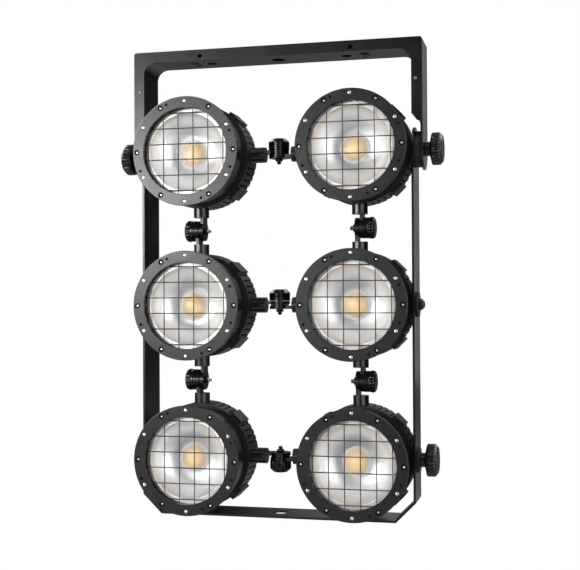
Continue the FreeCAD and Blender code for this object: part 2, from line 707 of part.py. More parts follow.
def clamp_knob(name, stud_long):
    """Large fluted knob on a hub, with its stud; its plate's outer face is at zero"""
    knob = body(name)
    profile = sketch(knob, "XY_Plane", name + "_profile")
    end = "hub_long+knob_long"
    outline(profile, [
        ("-(%s)" % stud_long, "0"),
        ("-(%s)" % stud_long, "stud_r"),
        ("seat_gap", "stud_r"),
        ("seat_gap", "hub_r"),
        ("hub_long", "hub_r"),
        ("hub_long+knob_cone", "knob_r"),
        (end + "-knob_edge", "knob_r"),
        (end, "knob_r-knob_edge"),
        (end, "0"),
    ])
    revolve(knob, "Revolution", profile, "X_Axis")
    fluted(knob, name, "knob_r+knob_flute_r/3", "knob_flute_r", "hub_long", "knob_long+overrun",
           "knob_flutes")
    return knob


def cable_gland(name):
    """Gland on the boss in the middle of the heat sink's back"""
    start = "drum_back_y-fin_inset"
    neck_at = start + "+gland_hex_thick"
    nut_at = neck_at + "+gland_neck_long"
    tip = doc.addObject("Part::Cone", name + "_tip")
    bind(tip, "Radius1", "gland_nut_r")
    bind(tip, "Radius2", "gland_tip_r")
    bind(tip, "Height", "gland_nut_long/2")
    place(tip, ("0", nut_at + "+gland_nut_long/2", "0"), TURN["y"])
    outside = fuse(name + "_outside", [
        hexagon(name + "_hexagon", "gland_hex_r", "gland_hex_thick", "y", ("0", start, "0")),
        rod(name + "_neck", "gland_neck_r", "gland_neck_long", "y", ("0", neck_at, "0")),
        rod(name + "_nut", "gland_nut_r", "gland_nut_long/2", "y", ("0", nut_at, "0")),
        tip,
    ])
    whole = "gland_hex_thick+gland_neck_long+gland_nut_long"
    bore = rod(name + "_bore", "gland_bore_r", whole + "+2*overrun", "y", ("0", start + "-overrun", "0"))
    return cut(name, outside, [bore])


def arch(name, half, top, low, radius, wide):
    """Block with its two upper corners rounded, as wide as asked along Y"""
    corners = []
    for side in ("-", ""):
        corners.append(rod("%s_corner_%s" % (name, "left" if side else "right"), radius, wide, "y",
                           ("%s(%s-%s)" % (side, half, radius), "-(%s)/2" % wide, "%s-%s" % (top, radius))))
    upper = block(name + "_upper", ("2*(%s-%s)" % (half, radius), wide, "%s-(%s)" % (top, low)),
                  ("-(%s-%s)" % (half, radius), "-(%s)/2" % wide, low))
    lower = block(name + "_lower", ("2*(%s)" % half, wide, "%s-%s-(%s)" % (top, radius, low)),
                  ("-(%s)" % half, "-(%s)/2" % wide, low))
    return fuse(name, [upper, lower] + corners)


# Yoke
PIVOT = "-yoke_drop"
CHANNEL_INSIDE = "(%s-channel_tall)" % YOKE_INSIDE
CHANNEL_END = PIVOT + "+channel_end_up"

plate_bend = cut("plate_bend",
                 arch("plate_outside", YOKE_OUTSIDE, "0", PIVOT, "yoke_bend_r", "yoke_wide"),
                 [arch("plate_inside", YOKE_INSIDE, "-yoke_thick", PIVOT + "-overrun",
                       "(yoke_bend_r-yoke_thick)", "(yoke_wide+2*overrun)")])
plate_blank = fuse("plate_blank", [
    plate_bend,
    rod("plate_end_left", "yoke_wide/2", "yoke_thick", "x", ("-" + YOKE_OUTSIDE, "0", PIVOT)),
    rod("plate_end_right", "yoke_wide/2", "yoke_thick", "x", (YOKE_INSIDE, "0", PIVOT)),
])
plate_holes = [
    rod("pivot_hole", "stud_r+running_gap", "2*(%s+overrun)" % YOKE_OUTSIDE, "x",
        ("-(%s+overrun)" % YOKE_OUTSIDE, "0", PIVOT)),
    rod("clamp_hole", "clamp_hole_r", "yoke_thick+2*overrun", "z", ("0", "0", "-(yoke_thick+overrun)")),
    rod("leg_hole", "leg_hole_r", "yoke_thick+2*overrun", "x",
        (YOKE_INSIDE + "-overrun", "0", "-leg_hole_drop")),
]
for side, sign in (("left", "-"), ("right", "")):
    plate_holes.append(rod("side_clamp_hole_" + side, "side_hole_r", "yoke_thick+2*overrun", "z",
                           (sign + "side_hole_x", "0", "-(yoke_thick+overrun)")))
node(cut("plate", plate_blank, plate_holes), "yoke_plate")

channel_blank = cut("channel_blank",
                    block("channel_outside",
                          ("2*" + YOKE_INSIDE, "yoke_wide", "-yoke_thick-(%s)" % CHANNEL_END),
                          ("-" + YOKE_INSIDE, "-yoke_wide/2", CHANNEL_END)),
                    [arch("channel_opening", CHANNEL_INSIDE, "-(yoke_thick+channel_tall)",
                          CHANNEL_END + "-overrun", "channel_corner_r", "(yoke_wide+2*overrun)")])
channel_space = cut("channel_space",
                    block("space_outside",
                          ("2*(%s+overrun)" % YOKE_INSIDE, "yoke_wide-2*channel_wall",
                           "overrun-yoke_thick-(%s-2*overrun)" % CHANNEL_END),
                          ("-(%s+overrun)" % YOKE_INSIDE, "-(yoke_wide/2-channel_wall)",
                           CHANNEL_END + "-2*overrun")),
                    [arch("space_opening", "(%s+channel_wall)" % CHANNEL_INSIDE,
                          "-(yoke_thick+channel_tall-channel_wall)", CHANNEL_END + "-3*overrun",
                          "(channel_corner_r+channel_wall)", "yoke_wide")])
channel_tools = [channel_space]
for side, sign in (("left", "-"), ("right", "")):
    channel_tools.append(rod("channel_end_" + side, "channel_end_r", "yoke_wide+2*overrun", "y",
                             ("%s(%s-channel_end_r)" % (sign, YOKE_INSIDE), "-(yoke_wide/2+overrun)",
                              CHANNEL_END)))
    channel_tools.append(rod("side_access_" + side, "side_access_r", "channel_wall+2*overrun", "z",
                             (sign + "side_hole_x", "0", "-(yoke_thick+channel_tall+overrun)")))
    channel_tools.append(rod("front_hole_" + side, "front_hole_r", "channel_wall+2*overrun", "y",
                             (sign + "front_hole_x", "-(yoke_wide/2+overrun)",
                              "-(yoke_thick+channel_tall/2)")))
channel_tools.append(rod("middle_access", "access_r", "channel_wall+2*overrun", "z",
                         ("0", "0", "-(yoke_thick+channel_tall+overrun)")))
node(cut("channel", channel_blank, channel_tools), "yoke_channel")

screw_heads = []
for side, sign in (("left", "-"), ("right", "")):
    screw_heads.append(rod("yoke_screw_" + side, "yoke_screw_r", "yoke_screw_tall", "y",
                           ("%s(%s-channel_tall/2)" % (sign, YOKE_INSIDE), "-(yoke_wide/2+yoke_screw_tall)",
                            "-yoke_screw_drop")))
node(group("yoke_screw_pair", screw_heads), "yoke_screws")

# Lower frame
ROWS = ("top", "middle", "bottom")
ROW_HEIGHTS = ["-(yoke_drop+%d*row_pitch)" % n for n in range(3)]
STRAP_BOTTOM = ROW_HEIGHTS[-1] + "-(drum_r+under_room+strap_thick)"
BEND_SHARE = "(sqrt(2)-1)"

strap_bend = body("strap_bend")
strap_outline = sketch(strap_bend, "XZ_Plane", "strap_outline")
half_outline = [
    (STRAP_OUTSIDE, PIVOT),
    (STRAP_OUTSIDE, STRAP_BOTTOM + "+strap_corner"),
    (STRAP_OUTSIDE + "-strap_corner", STRAP_BOTTOM),
]
half_inline = [
    (STRAP_INSIDE + "-strap_corner+strap_thick-%s*strap_thick" % BEND_SHARE, STRAP_BOTTOM + "+strap_thick"),
    (STRAP_INSIDE, STRAP_BOTTOM + "+strap_corner+%s*strap_thick" % BEND_SHARE),
    (STRAP_INSIDE, PIVOT),
]
outline(strap_outline,
        half_outline + [("-(%s)" % x, z) for x, z in half_outline[::-1]]
        + [("-(%s)" % x, z) for x, z in half_inline[::-1]] + half_inline)
extrude(strap_bend, "Pad", strap_outline, "strap_wide")
strap_blank = fuse("strap_blank", [
    strap_bend,
    rod("strap_end_left", "strap_wide/2", "strap_thick", "x", ("-" + STRAP_OUTSIDE, "0", PIVOT)),
    rod("strap_end_right", "strap_wide/2", "strap_thick", "x", (STRAP_INSIDE, "0", PIVOT)),
])
strap_holes = []
for row, height in zip(ROWS, ROW_HEIGHTS):
    strap_holes.append(rod("strap_hole_" + row, "stud_r+running_gap", "2*(%s+overrun)" % STRAP_OUTSIDE, "x",
                           ("-(%s+overrun)" % STRAP_OUTSIDE, "0", height)))
strap_holes.append(rod("spigot_hole", "spigot_hole_r", "strap_thick+2*overrun", "z",
                       ("0", "0", STRAP_BOTTOM + "-overrun")))
strap_holes.append(rod("lanyard_hole", "lanyard_hole_r", "strap_thick+2*overrun", "x",
                       (STRAP_INSIDE + "-overrun", "0", ROW_HEIGHTS[1] + "+lanyard_up")))
node(cut("strap", strap_blank, strap_holes), "frame_strap")


def bored_disc(name, radius, thick, at):
    """Disc on a side pivot, bored for the stud"""
    x, y, z = at
    bore = rod(name + "_bore", "stud_r+running_gap", thick + "+2*overrun", "x", (x + "-overrun", y, z))
    return cut(name, rod(name + "_blank", radius, thick, "x", at), [bore])


node(group("spacer_pair", [
    bored_disc("spacer_left", "spacer_r", "spacer_thick", ("-" + YOKE_INSIDE, "0", PIVOT)),
    bored_disc("spacer_right", "spacer_r", "spacer_thick", (STRAP_OUTSIDE, "0", PIVOT)),
]), "pivot_spacers")

BORE_END = "column_pitch/2+drum_r-stud_bite+seat_gap"
WASHER_FACE = "%s+washer_thick" % STRAP_OUTSIDE
washers = []
bolts = []
for row, height in list(zip(ROWS, ROW_HEIGHTS))[1:]:
    for side, sign, start in (("left", -1, "-(%s)" % WASHER_FACE), ("right", 1, STRAP_OUTSIDE)):
        name = "%s_%s" % (row, side)
        washers.append(bored_disc("washer_" + name, "washer_r", "washer_thick", (start, "0", height)))
        if (row, side) == ("bottom", "right"):
            continue
        bolt = fuse("bolt_" + name, [
            rod("bolt_shank_" + name, "stud_r", "%s-(%s)" % (WASHER_FACE, BORE_END), "x",
                (BORE_END, "0", "0")),
            hexagon("bolt_head_" + name, "bolt_head_r", "bolt_head_tall", "x", (WASHER_FACE, "0", "0")),
            rod("bolt_tip_" + name, "bolt_tip_r", "bolt_tip_long", "x",
                (WASHER_FACE + "+bolt_head_tall", "0", "0")),
        ])
        place(bolt, ("0", "0", height), KNOB_TURN["+x" if sign > 0 else "-x"])
        bolts.append(bolt)
node(group("washer_set", washers), "strap_washers")
node(group("bolt_set", bolts), "strap_bolts")

# Clamp knobs
YOKE_STUD = "%s-(%s)" % (YOKE_OUTSIDE, BORE_END)
ROW_STUD = "%s-(%s)" % (WASHER_FACE, BORE_END)
yoke_knob = clamp_knob("yoke_knob", YOKE_STUD)
node(another("left_knob", yoke_knob, ("-" + YOKE_OUTSIDE, "0", PIVOT), KNOB_TURN["-x"]), "yoke_knob_left")
node(another("right_knob", yoke_knob, (YOKE_OUTSIDE, "0", PIVOT), KNOB_TURN["+x"]), "yoke_knob_right")
short_knob = clamp_knob("short_knob", ROW_STUD)
node(another("bottom_knob", short_knob, (WASHER_FACE, "0", ROW_HEIGHTS[2])), "row_knob")

# Rows of two heads
COLUMNS = (("left", -1, "-column_pitch/2"), ("right", 1, "column_pitch/2"))
LINK_WAYS = {"left": "-x", "right": "+x", "top": "+z", "middle": "+z", "bottom": "-z"}
LAMP_PIECES = {"bezel": bezel_ring("ring"), "grille": wire_grille("wires"), "reflector": reflector("bowl"),
               "housing": housing("shell")}
DRUMS = {"left": heat_sink("drum_left", -1), "right": heat_sink("drum_right", 1)}
SCREWS = bezel_screws("screws")
GLAND = cable_gland("gland")
LINK_KNOB = link_knob("knob")
for index, (row, height) in enumerate(zip(ROWS, ROW_HEIGHTS)):
    glasses = []
    lights = []
    lugs = []
    fittings = []
    for column, side, x in COLUMNS:
        at = (x, "0", height)
        tag = "_%s_%s" % (row, column)
        for kind, piece in LAMP_PIECES.items():
            node(another("lamp_%s%s" % (kind, tag), piece, at), kind + tag)
        node(another("lamp_drum" + tag, DRUMS[column], at), "heat_sink" + tag)
        glass = rod("glass" + tag, "rim_r", "glass_thick", "y", (x, GLASS_FRONT, height))
        glasses.append(glass)
        lights.append(led_module("led" + tag, at))
        holder_at = (x, LED_BACK + "-holder_thick", height)
        holder = rod("holder_outside" + tag, "led_r+holder_wide", "holder_thick", "y", holder_at)
        opening = rod("holder_inside" + tag, "led_r", "3*holder_thick", "y",
                      (x, LED_BACK + "-2*holder_thick", height))
        lights.append(cut("holder" + tag, holder, [opening]))
        fittings.append(another("screws" + tag, SCREWS, at))
        fittings.append(another("gland" + tag, GLAND, at))
        lugs.append(side_boss("boss" + tag, at, side))
        lugs.append(link_lug("side_lug" + tag, at, "column_pitch/2", -90 * side, False))
        if index > 0:
            lugs.append(link_lug("top_lug" + tag, at, "row_pitch/2", 0, True))
        if index < 2:
            lugs.append(link_lug("low_lug" + tag, at, "row_pitch/2", 180, False))
            link_at = (x, "0", height + "-row_pitch/2")
            way = LINK_WAYS[column]
            lugs.append(friction_disc("disc" + tag, link_at, way))
            fittings.append(link_nut("nut" + tag, link_at, way))
            node(another("knob" + tag, LINK_KNOB, link_at, KNOB_TURN[way]), "link_knob_below" + tag)
    middle = ("0", "0", height)
    lugs.append(friction_disc("disc_" + row, middle, LINK_WAYS[row]))
    fittings.append(link_nut("nut_" + row, middle, LINK_WAYS[row]))
    node(another("knob_" + row, LINK_KNOB, middle, KNOB_TURN[LINK_WAYS[row]]), "link_knob_" + row)
    node(group("glass_pair_" + row, glasses), "front_glass_" + row)
    node(group("led_pair_" + row, lights), "leds_" + row)
    node(group("lug_set_" + row, lugs), "lugs_" + row)
    node(group("fitting_set_" + row, fittings), "fittings_" + row)

doc.recompute()

faults = [thing.Name for thing in doc.Objects if "Invalid" in thing.State or "Error" in thing.State]
for thing in nodes:
    if thing.Shape.isNull() or not thing.Shape.isValid():
        faults.append(thing.Label)
if faults:
    raise SystemExit("not sound: " + ", ".join(faults))

os.makedirs("parts", exist_ok=True)
for thing in nodes:
    thing.Shape.exportStep("parts/%s.step" % thing.Label)
print(len(nodes), "pieces written")
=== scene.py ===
# %% [markdown]
# # Dressing a six-head strobe light
# The light hangs from a U-shaped yoke. A bent flat-bar frame turns in the yoke and carries three
# rows of two round lamp heads, which are linked to each other by lugs and fluted knobs. Every
# solid was measured and built before this lesson, so we load those solids as a fixed frame and
# only add looks: rounded edges, threads, sockets and finishes.

# %% Load the measured solids
import json
import math
import bpy
from mathutils import Matrix, Vector


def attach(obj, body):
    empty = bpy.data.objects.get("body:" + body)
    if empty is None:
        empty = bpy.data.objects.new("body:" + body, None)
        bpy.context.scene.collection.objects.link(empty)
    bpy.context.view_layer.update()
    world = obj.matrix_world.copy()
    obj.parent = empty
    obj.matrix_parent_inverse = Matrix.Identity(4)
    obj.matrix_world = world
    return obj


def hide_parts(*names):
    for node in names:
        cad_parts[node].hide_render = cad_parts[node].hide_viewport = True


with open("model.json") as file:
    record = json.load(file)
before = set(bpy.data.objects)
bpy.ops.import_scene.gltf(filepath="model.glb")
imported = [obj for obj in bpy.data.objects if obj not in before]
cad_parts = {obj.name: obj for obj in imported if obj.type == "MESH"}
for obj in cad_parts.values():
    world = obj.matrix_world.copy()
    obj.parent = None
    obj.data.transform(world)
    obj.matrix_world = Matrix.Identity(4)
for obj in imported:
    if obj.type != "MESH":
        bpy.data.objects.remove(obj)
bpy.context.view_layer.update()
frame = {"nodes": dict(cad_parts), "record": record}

nodes = frame["nodes"]

# %% [markdown]
# ## The camera
# The picture was taken a little to the right of the light and almost level with its middle. The
# camera could be aimed by hand, but a target, two angles, a roll and a distance say the same
# thing in five numbers and are easy to correct. Straight uprights stay a little tilted, because
# the roll is a third of a degree.

# %% Camera
AIM = Vector((0.0438, -0.099, -0.4442))
AZIMUTH = math.radians(13.68)
ELEVATION = math.radians(-0.79)
ROLL = math.radians(-0.31)
DISTANCE = 1.984
LENS_MM = 69.3
SENSOR_MM = 36
SEEN_AS_FAR_AS = 50
back = Vector((math.sin(AZIMUTH) * math.cos(ELEVATION),
               -math.cos(AZIMUTH) * math.cos(ELEVATION),
               math.sin(ELEVATION)))
level = Vector((math.cos(AZIMUTH), math.sin(AZIMUTH), 0))
rise = back.cross(level)
across = math.cos(ROLL) * level + math.sin(ROLL) * rise
upward = -math.sin(ROLL) * level + math.cos(ROLL) * rise
place = AIM + back * DISTANCE
bpy.ops.object.camera_add()
camera = bpy.context.object
camera.matrix_world = Matrix((
    (across.x, upward.x, back.x, place.x),
    (across.y, upward.y, back.y, place.y),
    (across.z, upward.z, back.z, place.z),
    (0, 0, 0, 1)))
camera.data.lens = LENS_MM
camera.data.sensor_width = SENSOR_MM
camera.data.clip_end = SEEN_AS_FAR_AS
bpy.context.scene.camera = camera
print("camera at", [round(v, 3) for v in place])

# %% [markdown]
# ## Floor, room and lamps
# The light hangs in a studio, so the floor lies well below it and only has to be plain. It could
# be lit until it turns white, but then its glow would also light the underside of the yoke. So a
# switch shows a white floor to the camera and grey paper to everything else.


# %% Floor
def switch_by_ray(tree, kind, usual, special, output="Material Output"):
    """One shader for most rays, and another one for a special kind of ray"""
    ray = tree.nodes.new("ShaderNodeLightPath")
    switch = tree.nodes.new("ShaderNodeMixShader")
    tree.links.new(ray.outputs[kind], switch.inputs[0])
    tree.links.new(usual.outputs[0], switch.inputs[1])
    tree.links.new(special.outputs[0], switch.inputs[2])
    tree.links.new(switch.outputs[0], tree.nodes[output].inputs["Surface"])


FLOOR_Z = -1.75
FLOOR_WIDE = 30
PAPER_GREY = 0.32
bpy.ops.mesh.primitive_plane_add(size=FLOOR_WIDE, location=(0, 0, FLOOR_Z))
floor = bpy.context.object
floor.name = "floor"
bpy.ops.object.transform_apply(location=True, rotation=True, scale=True)
bpy.ops.object.mode_set(mode="EDIT")
bpy.ops.mesh.subdivide(number_cuts=7)
bpy.ops.object.mode_set(mode="OBJECT")
paper = bpy.data.materials.new("studio_paper")
paper.use_nodes = True
matt = paper.node_tree.nodes["Principled BSDF"]
matt.inputs["Base Color"].default_value = (PAPER_GREY, PAPER_GREY, PAPER_GREY, 1)
matt.inputs["Roughness"].default_value = 0.9
white = paper.node_tree.nodes.new("ShaderNodeEmission")
switch_by_ray(paper.node_tree, "Is Camera Ray", matt, white)
floor.data.materials.append(paper)
print("floor at", FLOOR_Z)

# %% [markdown]
# ### The room
# What the camera sees behind the light is white. Black paint takes its whole look from what it
# mirrors, so what shiny surfaces see is a separate matter: a dim room with a pale ceiling, and a
# grey backdrop straight behind the light that lies as a soft sheen on the outer faces of the
# bars. Walls could do this, but a sky that depends on direction alone gives a sheen free of noise.

# %% Sky
FRONT_LOW = 0.24
FRONT_HIGH = 0.12
BEHIND = 0.02
BACKDROP = 0.44
OVERHEAD = 0.35
sky = bpy.data.worlds.new("studio")
bpy.context.scene.world = sky
sky.use_nodes = True
sky_tree = sky.node_tree
seen_sky = sky_tree.nodes["Background"]
seen_sky.inputs["Color"].default_value = (1, 1, 1, 1)
seen_sky.inputs["Strength"].default_value = 1.0
lit_sky = sky_tree.nodes.new("ShaderNodeBackground")
facing = sky_tree.nodes.new("ShaderNodeTexCoord")
split = sky_tree.nodes.new("ShaderNodeSeparateXYZ")
sky_tree.links.new(facing.outputs["Generated"], split.inputs[0])


def sky_fade(source, start, end, low, high):
    """Brightness that goes softly from one value to another along one direction"""
    fade = sky_tree.nodes.new("ShaderNodeMapRange")
    fade.interpolation_type = "SMOOTHSTEP"
    sockets = ("From Min", "From Max", "To Min", "To Max")
    for socket, amount in zip(sockets, (start, end, low, high)):
        if isinstance(amount, float):
            fade.inputs[socket].default_value = amount
        else:
            sky_tree.links.new(amount, fade.inputs[socket])
    sky_tree.links.new(source, fade.inputs["Value"])
    return fade.outputs[0]


sideways = sky_tree.nodes.new("ShaderNodeMath")
sideways.operation = "ABSOLUTE"
sky_tree.links.new(split.outputs["X"], sideways.inputs[0])
# Directions run from -1 to 1 along each axis, so 0.25 is about 14 degrees above the horizon
ahead = sky_fade(split.outputs["Z"], -0.25, 0.25, FRONT_LOW, FRONT_HIGH)
behind = sky_fade(sideways.outputs[0], 0.14, 0.30, BACKDROP, BEHIND)
around = sky_fade(split.outputs["Y"], -0.1, 0.4, ahead, behind)
whole_sky = sky_fade(split.outputs["Z"], 0.42, 0.75, around, OVERHEAD)
sky_tree.links.new(whole_sky, lit_sky.inputs["Strength"])
switch_by_ray(sky_tree, "Is Camera Ray", lit_sky, seen_sky, "World Output")
bpy.context.scene.view_settings.view_transform = "Standard"
print("sky ready")

# %% [markdown]
# ### Soft panels
# A wide, low soft panel far away at the left gives the bezels their bright left sides. Its soft
# edge is made with two panels, a bright one inside a dim one. A tall panel at the right lights
# the left halves of the reflectors, and a narrow one beside the light draws a fine bright line on
# every edge that faces it. Two more stand behind the light, so that its back isn't a black hole
# when somebody walks round it. Panels are placed by the angles under which the light sees
# them, because these angles can be read from the sheen in the picture.

# %% Soft panels
MIDDLE = Vector((0, -0.1, -0.45))
PANEL_AWAY = 5.5
# The name, the angles left, up, wide and tall in degrees, and the brightness, where 1 is white
PANELS = (
    ("panel_left", 39, 7.2, 38, 9, 17.0),
    ("panel_left_glow", 34, 4, 50, 22, 1.5),
    ("panel_right", -44, 0, 40, 66, 2.9),
    ("panel_edge", -84, 0, 14, 60, 2.4),
    ("panel_top", 10, 68, 50, 40, 0.9),
    ("panel_back_left", 120, 36, 44, 36, 5.0),
    ("panel_back_right", -132, 42, 34, 30, 5.0),
)


def soft_panel(name, left, up, wide, tall, brightness):
    """Lamp that is seen from the light under these angles"""
    left, up, wide, tall = (math.radians(angle) for angle in (left, up, wide, tall))
    toward = Vector((-math.sin(left) * math.cos(up), -math.cos(left) * math.cos(up), math.sin(up)))
    bpy.ops.object.light_add(type="AREA", location=MIDDLE + toward * PANEL_AWAY)
    lamp = bpy.context.object
    lamp.name = name
    lamp.data.shape = "RECTANGLE"
    lamp.data.size = 2 * PANEL_AWAY * math.tan(wide / 2)
    lamp.data.size_y = 2 * PANEL_AWAY * math.tan(tall / 2)
    lamp.data.energy = brightness * math.pi * lamp.data.size * lamp.data.size_y
    lamp.rotation_euler = (-toward).to_track_quat("-Z", "Y").to_euler()


for panel in PANELS:
    soft_panel(*panel)
print("lamps:", len(PANELS))

# %% [markdown]
# ## Finishes
# A finish is more than a colour. Powder paint has a fine orange-peel skin and fingermarks that
# change its gloss, a spun reflector has rings from the tool, moulded plastic is smooth but never
# even. All of these patterns are worked out from the solid's own coordinates, so they stay put
# when a part turns and need no picture files. First come the helpers that start a material,
# link patterns to it, and make a grain.


# %% Materials and grain
def finish_nodes(name, colour, roughness, metal=0.0, **sockets):
    """A new material with its Principled shader set, returned with its tree"""
    made = bpy.data.materials.new(name)
    made.use_nodes = True
    shader = made.node_tree.nodes["Principled BSDF"]
    shader.inputs["Base Color"].default_value = (*colour, 1)
    shader.inputs["Roughness"].default_value = roughness
    shader.inputs["Metallic"].default_value = metal
    for socket, amount in sockets.items():
        shader.inputs[socket.replace("_", " ")].default_value = amount
    return made, made.node_tree, shader


def feed(tree, shader, **sources):
    """Link patterns to the shader, by the names of its sockets"""
    for socket, source in sources.items():
        tree.links.new(source, shader.inputs[socket.replace("_", " ")])


def grain(tree, scale, detail=2.0, squeeze=(1, 1, 1)):
    """Noise on the solid's own coordinates; scale is in spots per metre"""
    where = tree.nodes.new("ShaderNodeTexCoord")
    stretch = tree.nodes.new("ShaderNodeMapping")
    stretch.inputs["Scale"].default_value = squeeze
    spots = tree.nodes.new("ShaderNodeTexNoise")
    spots.inputs["Scale"].default_value = scale
    spots.inputs["Detail"].default_value = detail
    tree.links.new(where.outputs["Object"], stretch.inputs["Vector"])
    tree.links.new(stretch.outputs[0], spots.inputs["Vector"])
    return spots.outputs["Fac"]


print("grain ready")

# %% [markdown]
# A pattern by itself is only a number between 0 and 1. It can become a roughness, a colour or a
# fine relief, and each way gets a helper. Noise seldom comes near 0 or 1, so patterns are read
# over the range where most of their values lie.

# %% Patterns into roughness, colour and relief
GRAIN_LOW = 0.3
GRAIN_HIGH = 0.7


def spread(tree, pattern, low, high):
    """The same pattern between two other values"""
    ramp = tree.nodes.new("ShaderNodeMapRange")
    ramp.inputs["From Min"].default_value = GRAIN_LOW
    ramp.inputs["From Max"].default_value = GRAIN_HIGH
    ramp.inputs["To Min"].default_value = low
    ramp.inputs["To Max"].default_value = high
    tree.links.new(pattern, ramp.inputs["Value"])
    return ramp.outputs[0]


def colours(tree, value, stops, blend="LINEAR"):
    """Colour by a value, from a row of stops, each with its place and colour"""
    ramp = tree.nodes.new("ShaderNodeValToRGB")
    ramp.color_ramp.interpolation = blend
    for stop, (at, colour) in zip(ramp.color_ramp.elements, stops):
        stop.position = at
        stop.color = (*colour, 1)
    for at, colour in stops[2:]:
        ramp.color_ramp.elements.new(at).color = (*colour, 1)
    tree.links.new(value, ramp.inputs[0])
    return ramp.outputs[0]


def tint(tree, pattern, dark, light):
    """A colour between two, by a pattern"""
    return colours(tree, pattern, ((GRAIN_LOW, dark), (GRAIN_HIGH, light)))


def bumps(tree, shader, height, depth, strength=1.0):
    """Raise the surface by a pattern, by at most a depth in metres"""
    relief = tree.nodes.new("ShaderNodeBump")
    relief.inputs["Distance"].default_value = depth
    relief.inputs["Strength"].default_value = strength
    tree.links.new(height, relief.inputs["Height"])
    feed(tree, shader, Normal=relief.outputs[0])


print("patterns are read from", GRAIN_LOW, "to", GRAIN_HIGH)

# %% [markdown]
# ### Black paint
# The bars and the lamps are powder-painted. Under a soft panel the paint shows a satin sheen, a
# very fine skin and slow cloudy changes of gloss where it has been handled. The bars and the
# lamps get the same recipe with different numbers, because they come from different shops. The
# shells are duller than the bezels, and the heat sinks have the dull grey-black of a dyed oxide
# skin, which keeps their fins readable from behind.

# %% Black paint
SKIN_DEEP = 0.00001


def powder_paint(name, dark, light, gloss_low, gloss_high, **sockets):
    """Black paint between two colours and two roughnesses"""
    made, tree, shader = finish_nodes(name, dark, gloss_high, **sockets)
    feed(tree, shader, Base_Color=tint(tree, grain(tree, 9, 3), dark, light),
         Roughness=spread(tree, grain(tree, 26, 4), gloss_low, gloss_high))
    bumps(tree, shader, grain(tree, 1400, 2), SKIN_DEEP)
    return made


frame_paint = powder_paint(
    "frame_paint", (0.0028, 0.0028, 0.0030), (0.0042, 0.0042, 0.0045), 0.19, 0.25)
lamp_paint = powder_paint(
    "lamp_paint", (0.0042, 0.0042, 0.0045), (0.0060, 0.0060, 0.0064), 0.23, 0.29)
shell_paint = powder_paint(
    "shell_paint", (0.0026, 0.0026, 0.0028), (0.0038, 0.0038, 0.0041), 0.24, 0.31,
    Specular_IOR_Level=0.22)
sink_coat = powder_paint(
    "sink_coat", (0.009, 0.009, 0.0094), (0.013, 0.013, 0.0135), 0.40, 0.48,
    Specular_IOR_Level=0.3)
print("paints:", frame_paint.name, lamp_paint.name, shell_paint.name, sink_coat.name)

# %% [markdown]
# ### Steel and wire
# The screws are bright stainless steel, turned and a little brushed. Nuts and bolts are
# blackened, and the yoke's screws are in between. The grille is thin wire with a brownish dark
# coat. Two noises each are enough: a coarse one for the colour and a fine one for the gloss.

# %% Steel and wire
bright_steel, tree, shader = finish_nodes("bright_steel", (0.78, 0.76, 0.73), 0.24, metal=1.0)
feed(tree, shader,
     Roughness=spread(tree, grain(tree, 900, 3, (1, 1, 0.2)), 0.16, 0.34),
     Base_Color=tint(tree, grain(tree, 500, 2), (0.70, 0.68, 0.65), (0.84, 0.82, 0.79)))

satin_steel, tree, shader = finish_nodes("satin_steel", (0.22, 0.22, 0.23), 0.4, metal=0.7)
feed(tree, shader,
     Roughness=spread(tree, grain(tree, 500, 3), 0.34, 0.46),
     Base_Color=tint(tree, grain(tree, 260, 2), (0.18, 0.18, 0.19), (0.26, 0.26, 0.27)))

black_steel, tree, shader = finish_nodes("black_steel", (0.02, 0.02, 0.021), 0.35, metal=0.6)
feed(tree, shader,
     Roughness=spread(tree, grain(tree, 300, 4), 0.28, 0.45),
     Base_Color=tint(tree, grain(tree, 220, 3), (0.015, 0.015, 0.016), (0.05, 0.048, 0.046)))

grille_coat, tree, shader = finish_nodes("grille_coat", (0.05, 0.043, 0.038), 0.42, metal=0.3)
feed(tree, shader,
     Roughness=spread(tree, grain(tree, 420, 3), 0.34, 0.5),
     Base_Color=tint(tree, grain(tree, 160, 3), (0.032, 0.027, 0.024), (0.075, 0.066, 0.058)))
bumps(tree, shader, grain(tree, 1800, 2), 0.00004)
print("metals:", bright_steel.name, satin_steel.name, black_steel.name, grille_coat.name)

# %% [markdown]
# ### Plastic and rubber
# The knobs are moulded in a glossy black plastic with a hardly visible flow texture, and the
# spacer discs in a duller one. The holder round each light module is white plastic that the
# heat has greyed. Rubber swallows light: it is the blackest and the roughest of them all.

# %% Plastic and rubber
knob_plastic, tree, shader = finish_nodes("knob_plastic", (0.005, 0.005, 0.0055), 0.2)
feed(tree, shader,
     Roughness=spread(tree, grain(tree, 60, 4), 0.16, 0.27),
     Base_Color=tint(tree, grain(tree, 30, 2), (0.004, 0.004, 0.0045), (0.007, 0.007, 0.0075)))
bumps(tree, shader, grain(tree, 700, 2), 0.00002)

spacer_plastic, tree, shader = finish_nodes("spacer_plastic", (0.013, 0.013, 0.014), 0.5)
feed(tree, shader, Roughness=spread(tree, grain(tree, 90, 3), 0.42, 0.58))
bumps(tree, shader, grain(tree, 1100, 2), 0.00005)

holder_white, tree, shader = finish_nodes("holder_white", (0.42, 0.40, 0.37), 0.5)
feed(tree, shader,
     Base_Color=tint(tree, grain(tree, 200, 3), (0.38, 0.36, 0.33), (0.46, 0.44, 0.41)))

# Real black rubber for the gland seals; on the counterbore rings and the hole plugs this finish is
# painted shade.
rubber_and_painted_shade, tree, shader = finish_nodes("rubber_and_painted_shade", (0.003, 0.003, 0.003), 0.7, Specular_IOR_Level=0.1)
feed(tree, shader, Roughness=spread(tree, grain(tree, 300, 3), 0.6, 0.8))
print("plastics:", knob_plastic.name, spacer_plastic.name, holder_white.name, rubber_and_painted_shade.name)

